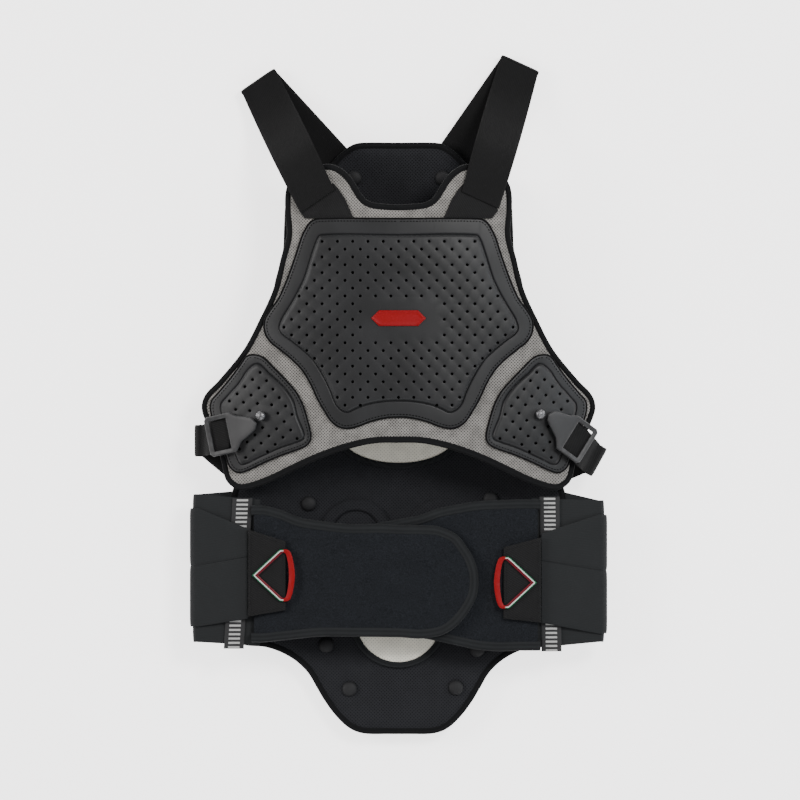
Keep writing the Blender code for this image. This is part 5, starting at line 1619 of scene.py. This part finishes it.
def side_rows(sign, front, layer, rise, front_edges, fold_edges, tail_x, tail_height, tail_edges=None):
    """Cross lines of an elastic that runs out from the belt front, folds and runs back."""
    radius = SIDE_FOLD_RADIUS + layer
    bend = BELT_HALF_WIDTH - SIDE_FOLD_RADIUS - SIDE_GAUGE / 2

    def row(x, height, down):
        return [(sign * x, BELT_TOP - edge * BELT_HEIGHT, height) for edge in down]

    rows = []
    start = side_front(front) + layer + rise
    for share in np.linspace(0, 1, 4):
        x = front * BELT_HALF_WIDTH * (1 - share) + bend * share
        down = [a * (1 - share) + b * share for a, b in zip(front_edges, fold_edges)]
        rows.append(row(x, start * (1 - share) + (SIDE_FOLD_HEIGHT + radius) * share, down))
    for angle in (54, 18, -18, -54, -90):
        turn = math.radians(angle)
        out, up = radius * math.cos(turn), radius * math.sin(turn)
        rows.append(row(bend + out, SIDE_FOLD_HEIGHT + up, fold_edges))
    for share in (0.5, 1.0):
        height = (SIDE_FOLD_HEIGHT - radius) * (1 - share) + tail_height * share
        down = [a * (1 - share) + b * share for a, b in zip(fold_edges, tail_edges or fold_edges)]
        rows.append(row(bend * (1 - share) + tail_x * share, height, down))
    return rows


WING = BACK_HALF_WIDTH + 0.0006
BELT_LEVEL = BELT_TOP - BELT_HEIGHT / 2
TAPE_GAUGE = 0.001
TAPE_HALF = 0.0095 / BELT_HALF_WIDTH
TAIL_TOP = -0.055
TAIL_TUCK = 0.009
for side in BELT_SIDES:
    rows = side_rows(side.sign, side.panel_end - 0.03, 0.0, 0.0, side.base_inner, side.base_fold,
                     WING - TAIL_TUCK, float(back_middle(WING, BELT_LEVEL)), (TAIL_TOP, side.base_fold[1]))
    band("elastic_side_" + side.name, rows, SIDE_GAUGE, "side_elastic",
         ["belt_side_" + side.name])
    rows = []
    for share in np.linspace(0, 1, 7):
        across = side.tape_top * (1 - share) + side.tape_foot * share
        down = side.base_inner[0] - 0.01 + (side.base_inner[1] - side.base_inner[0] + 0.03) * share
        row = []
        for edge in (across - TAPE_HALF, across + TAPE_HALF):
            x, y = belt_point(side.sign * edge, down)
            row.append((x, y, side_front(edge) + SIDE_GAUGE / 2 + LAYER_GAP + TAPE_GAUGE / 2))
        rows.append(row)
    band("signal_" + side.name, rows, TAPE_GAUGE, "reflective", ["tape_" + side.name])
    layer = SIDE_GAUGE + LAYER_GAP
    tail_x = BACK_HALF_WIDTH - 2 * BACK_TAPE
    tail_height = float(back_under(tail_x, BELT_LEVEL)) - LAYER_GAP - SIDE_GAUGE
    top_in, seam_in, foot_in = side.band_inner
    top_out, seam_out, foot_out = side.band_fold
    for prefix, inner, fold in (
        ("upper", (top_in, seam_in), (top_out, seam_out)),
        ("lower", (seam_in, foot_in), (seam_out, foot_out)),
    ):
        rows = side_rows(side.sign, side.tab_root, layer, TAPE_GAUGE + BELT_TAPE_GAUGE / 2, inner, fold,
                         tail_x, tail_height)
        name = f"band_{prefix}_{side.name}"
        band("tension_" + name[5:], rows, SIDE_GAUGE, "side_elastic", [name])
print("belt sides: 2")

# %% [markdown]
# ## Pull tabs
# Each tension band ends in a tab of webbing with hooks underneath. A moulded frame on
# it gives the hand a grip. Its slanted sides carry a fine striped edge.

# %% Pull tabs and frames
PULL_OUTLINE = (
    (0.00, 0.00), (0.31, 0.48), (0.62, 0.96), (0.66, 1.00), (0.80, 1.00), (0.86, 0.96), (0.90, 0.88),
    (0.94, 0.70), (0.97, 0.46), (0.99, 0.24), (1.00, 0.00),
)
PULL_HOLE = (
    (0.147, 0.00), (0.40, 0.39), (0.66, 0.79), (0.70, 0.85), (0.745, 0.88), (0.78, 0.84), (0.81, 0.72),
    (0.84, 0.46), (0.855, 0.22), (0.86, 0.00),
)
TAB_GAUGE = 0.004
PULL_LENGTH = 0.0410
PULL_HALF_HEIGHT = 0.0247
PULL_GAUGE = 0.0024
PLAIN_BAR_START = 0.0305
tab_paths = []
for side in BELT_SIDES:
    surface = BELT_LOOKS[side.name][0]
    root = side.tab_root - 0.0004 / BELT_HALF_WIDTH
    corners = ((root, side.tab_root_ends[0]), (side.tab_tip, side.tab_tip_ends[0]),
               (side.tab_tip, side.tab_tip_ends[1]), (root, side.tab_root_ends[1]))
    tab_loop = straight_loop([belt_point(side.sign * across, down) for across, down in corners])
    seat = above(surface, BELT_TAPE_GAUGE / 2 + LAYER_GAP)
    top, bottom = flat_plate(seat, TAB_GAUGE, 0.0012)
    panel("grip_tab_" + side.name, [tab_loop], top, bottom, "webbing", ["pull_tab_" + side.name],
          marks=lambda flat: {"across": flat[:, 1], "along": flat[:, 0]})
    tab_paths.append(on_surface(inset(tab_loop, 0.0028), above(seat, TAB_GAUGE)))
    point = belt_point(side.sign * side.pull_point, side.pull_level)
    face = above(seat, TAB_GAUGE + 0.0002)
    loops = []
    for rows in (PULL_OUTLINE, PULL_HOLE):
        whole = [*rows, *((x, -y) for x, y in reversed(rows[1:-1]))]
        corners = [(point[0] - side.sign * x * PULL_LENGTH, point[1] + y * PULL_HALF_HEIGHT)
                   for x, y in whole]
        loops.append(straight_loop(corners, 0.0012))
    top, bottom = flat_plate(face, PULL_GAUGE, 0.0009)
    panel("grip_frame_" + side.name, loops, top, bottom, "striped",
          ["pull_frame_" + side.name], spacing=0.0016, edge_rings=(0.0003, 0.0008, 0.0014, 0.0022),
          marks=lambda flat, s=side.sign, p=point: {
              "stripes": smooth_step((PLAIN_BAR_START + s * (flat[:, 0] - p[0])) / 0.001)})
stitches("tab_stitches", tab_paths, 0.0028, 0.0020, 0.0003)
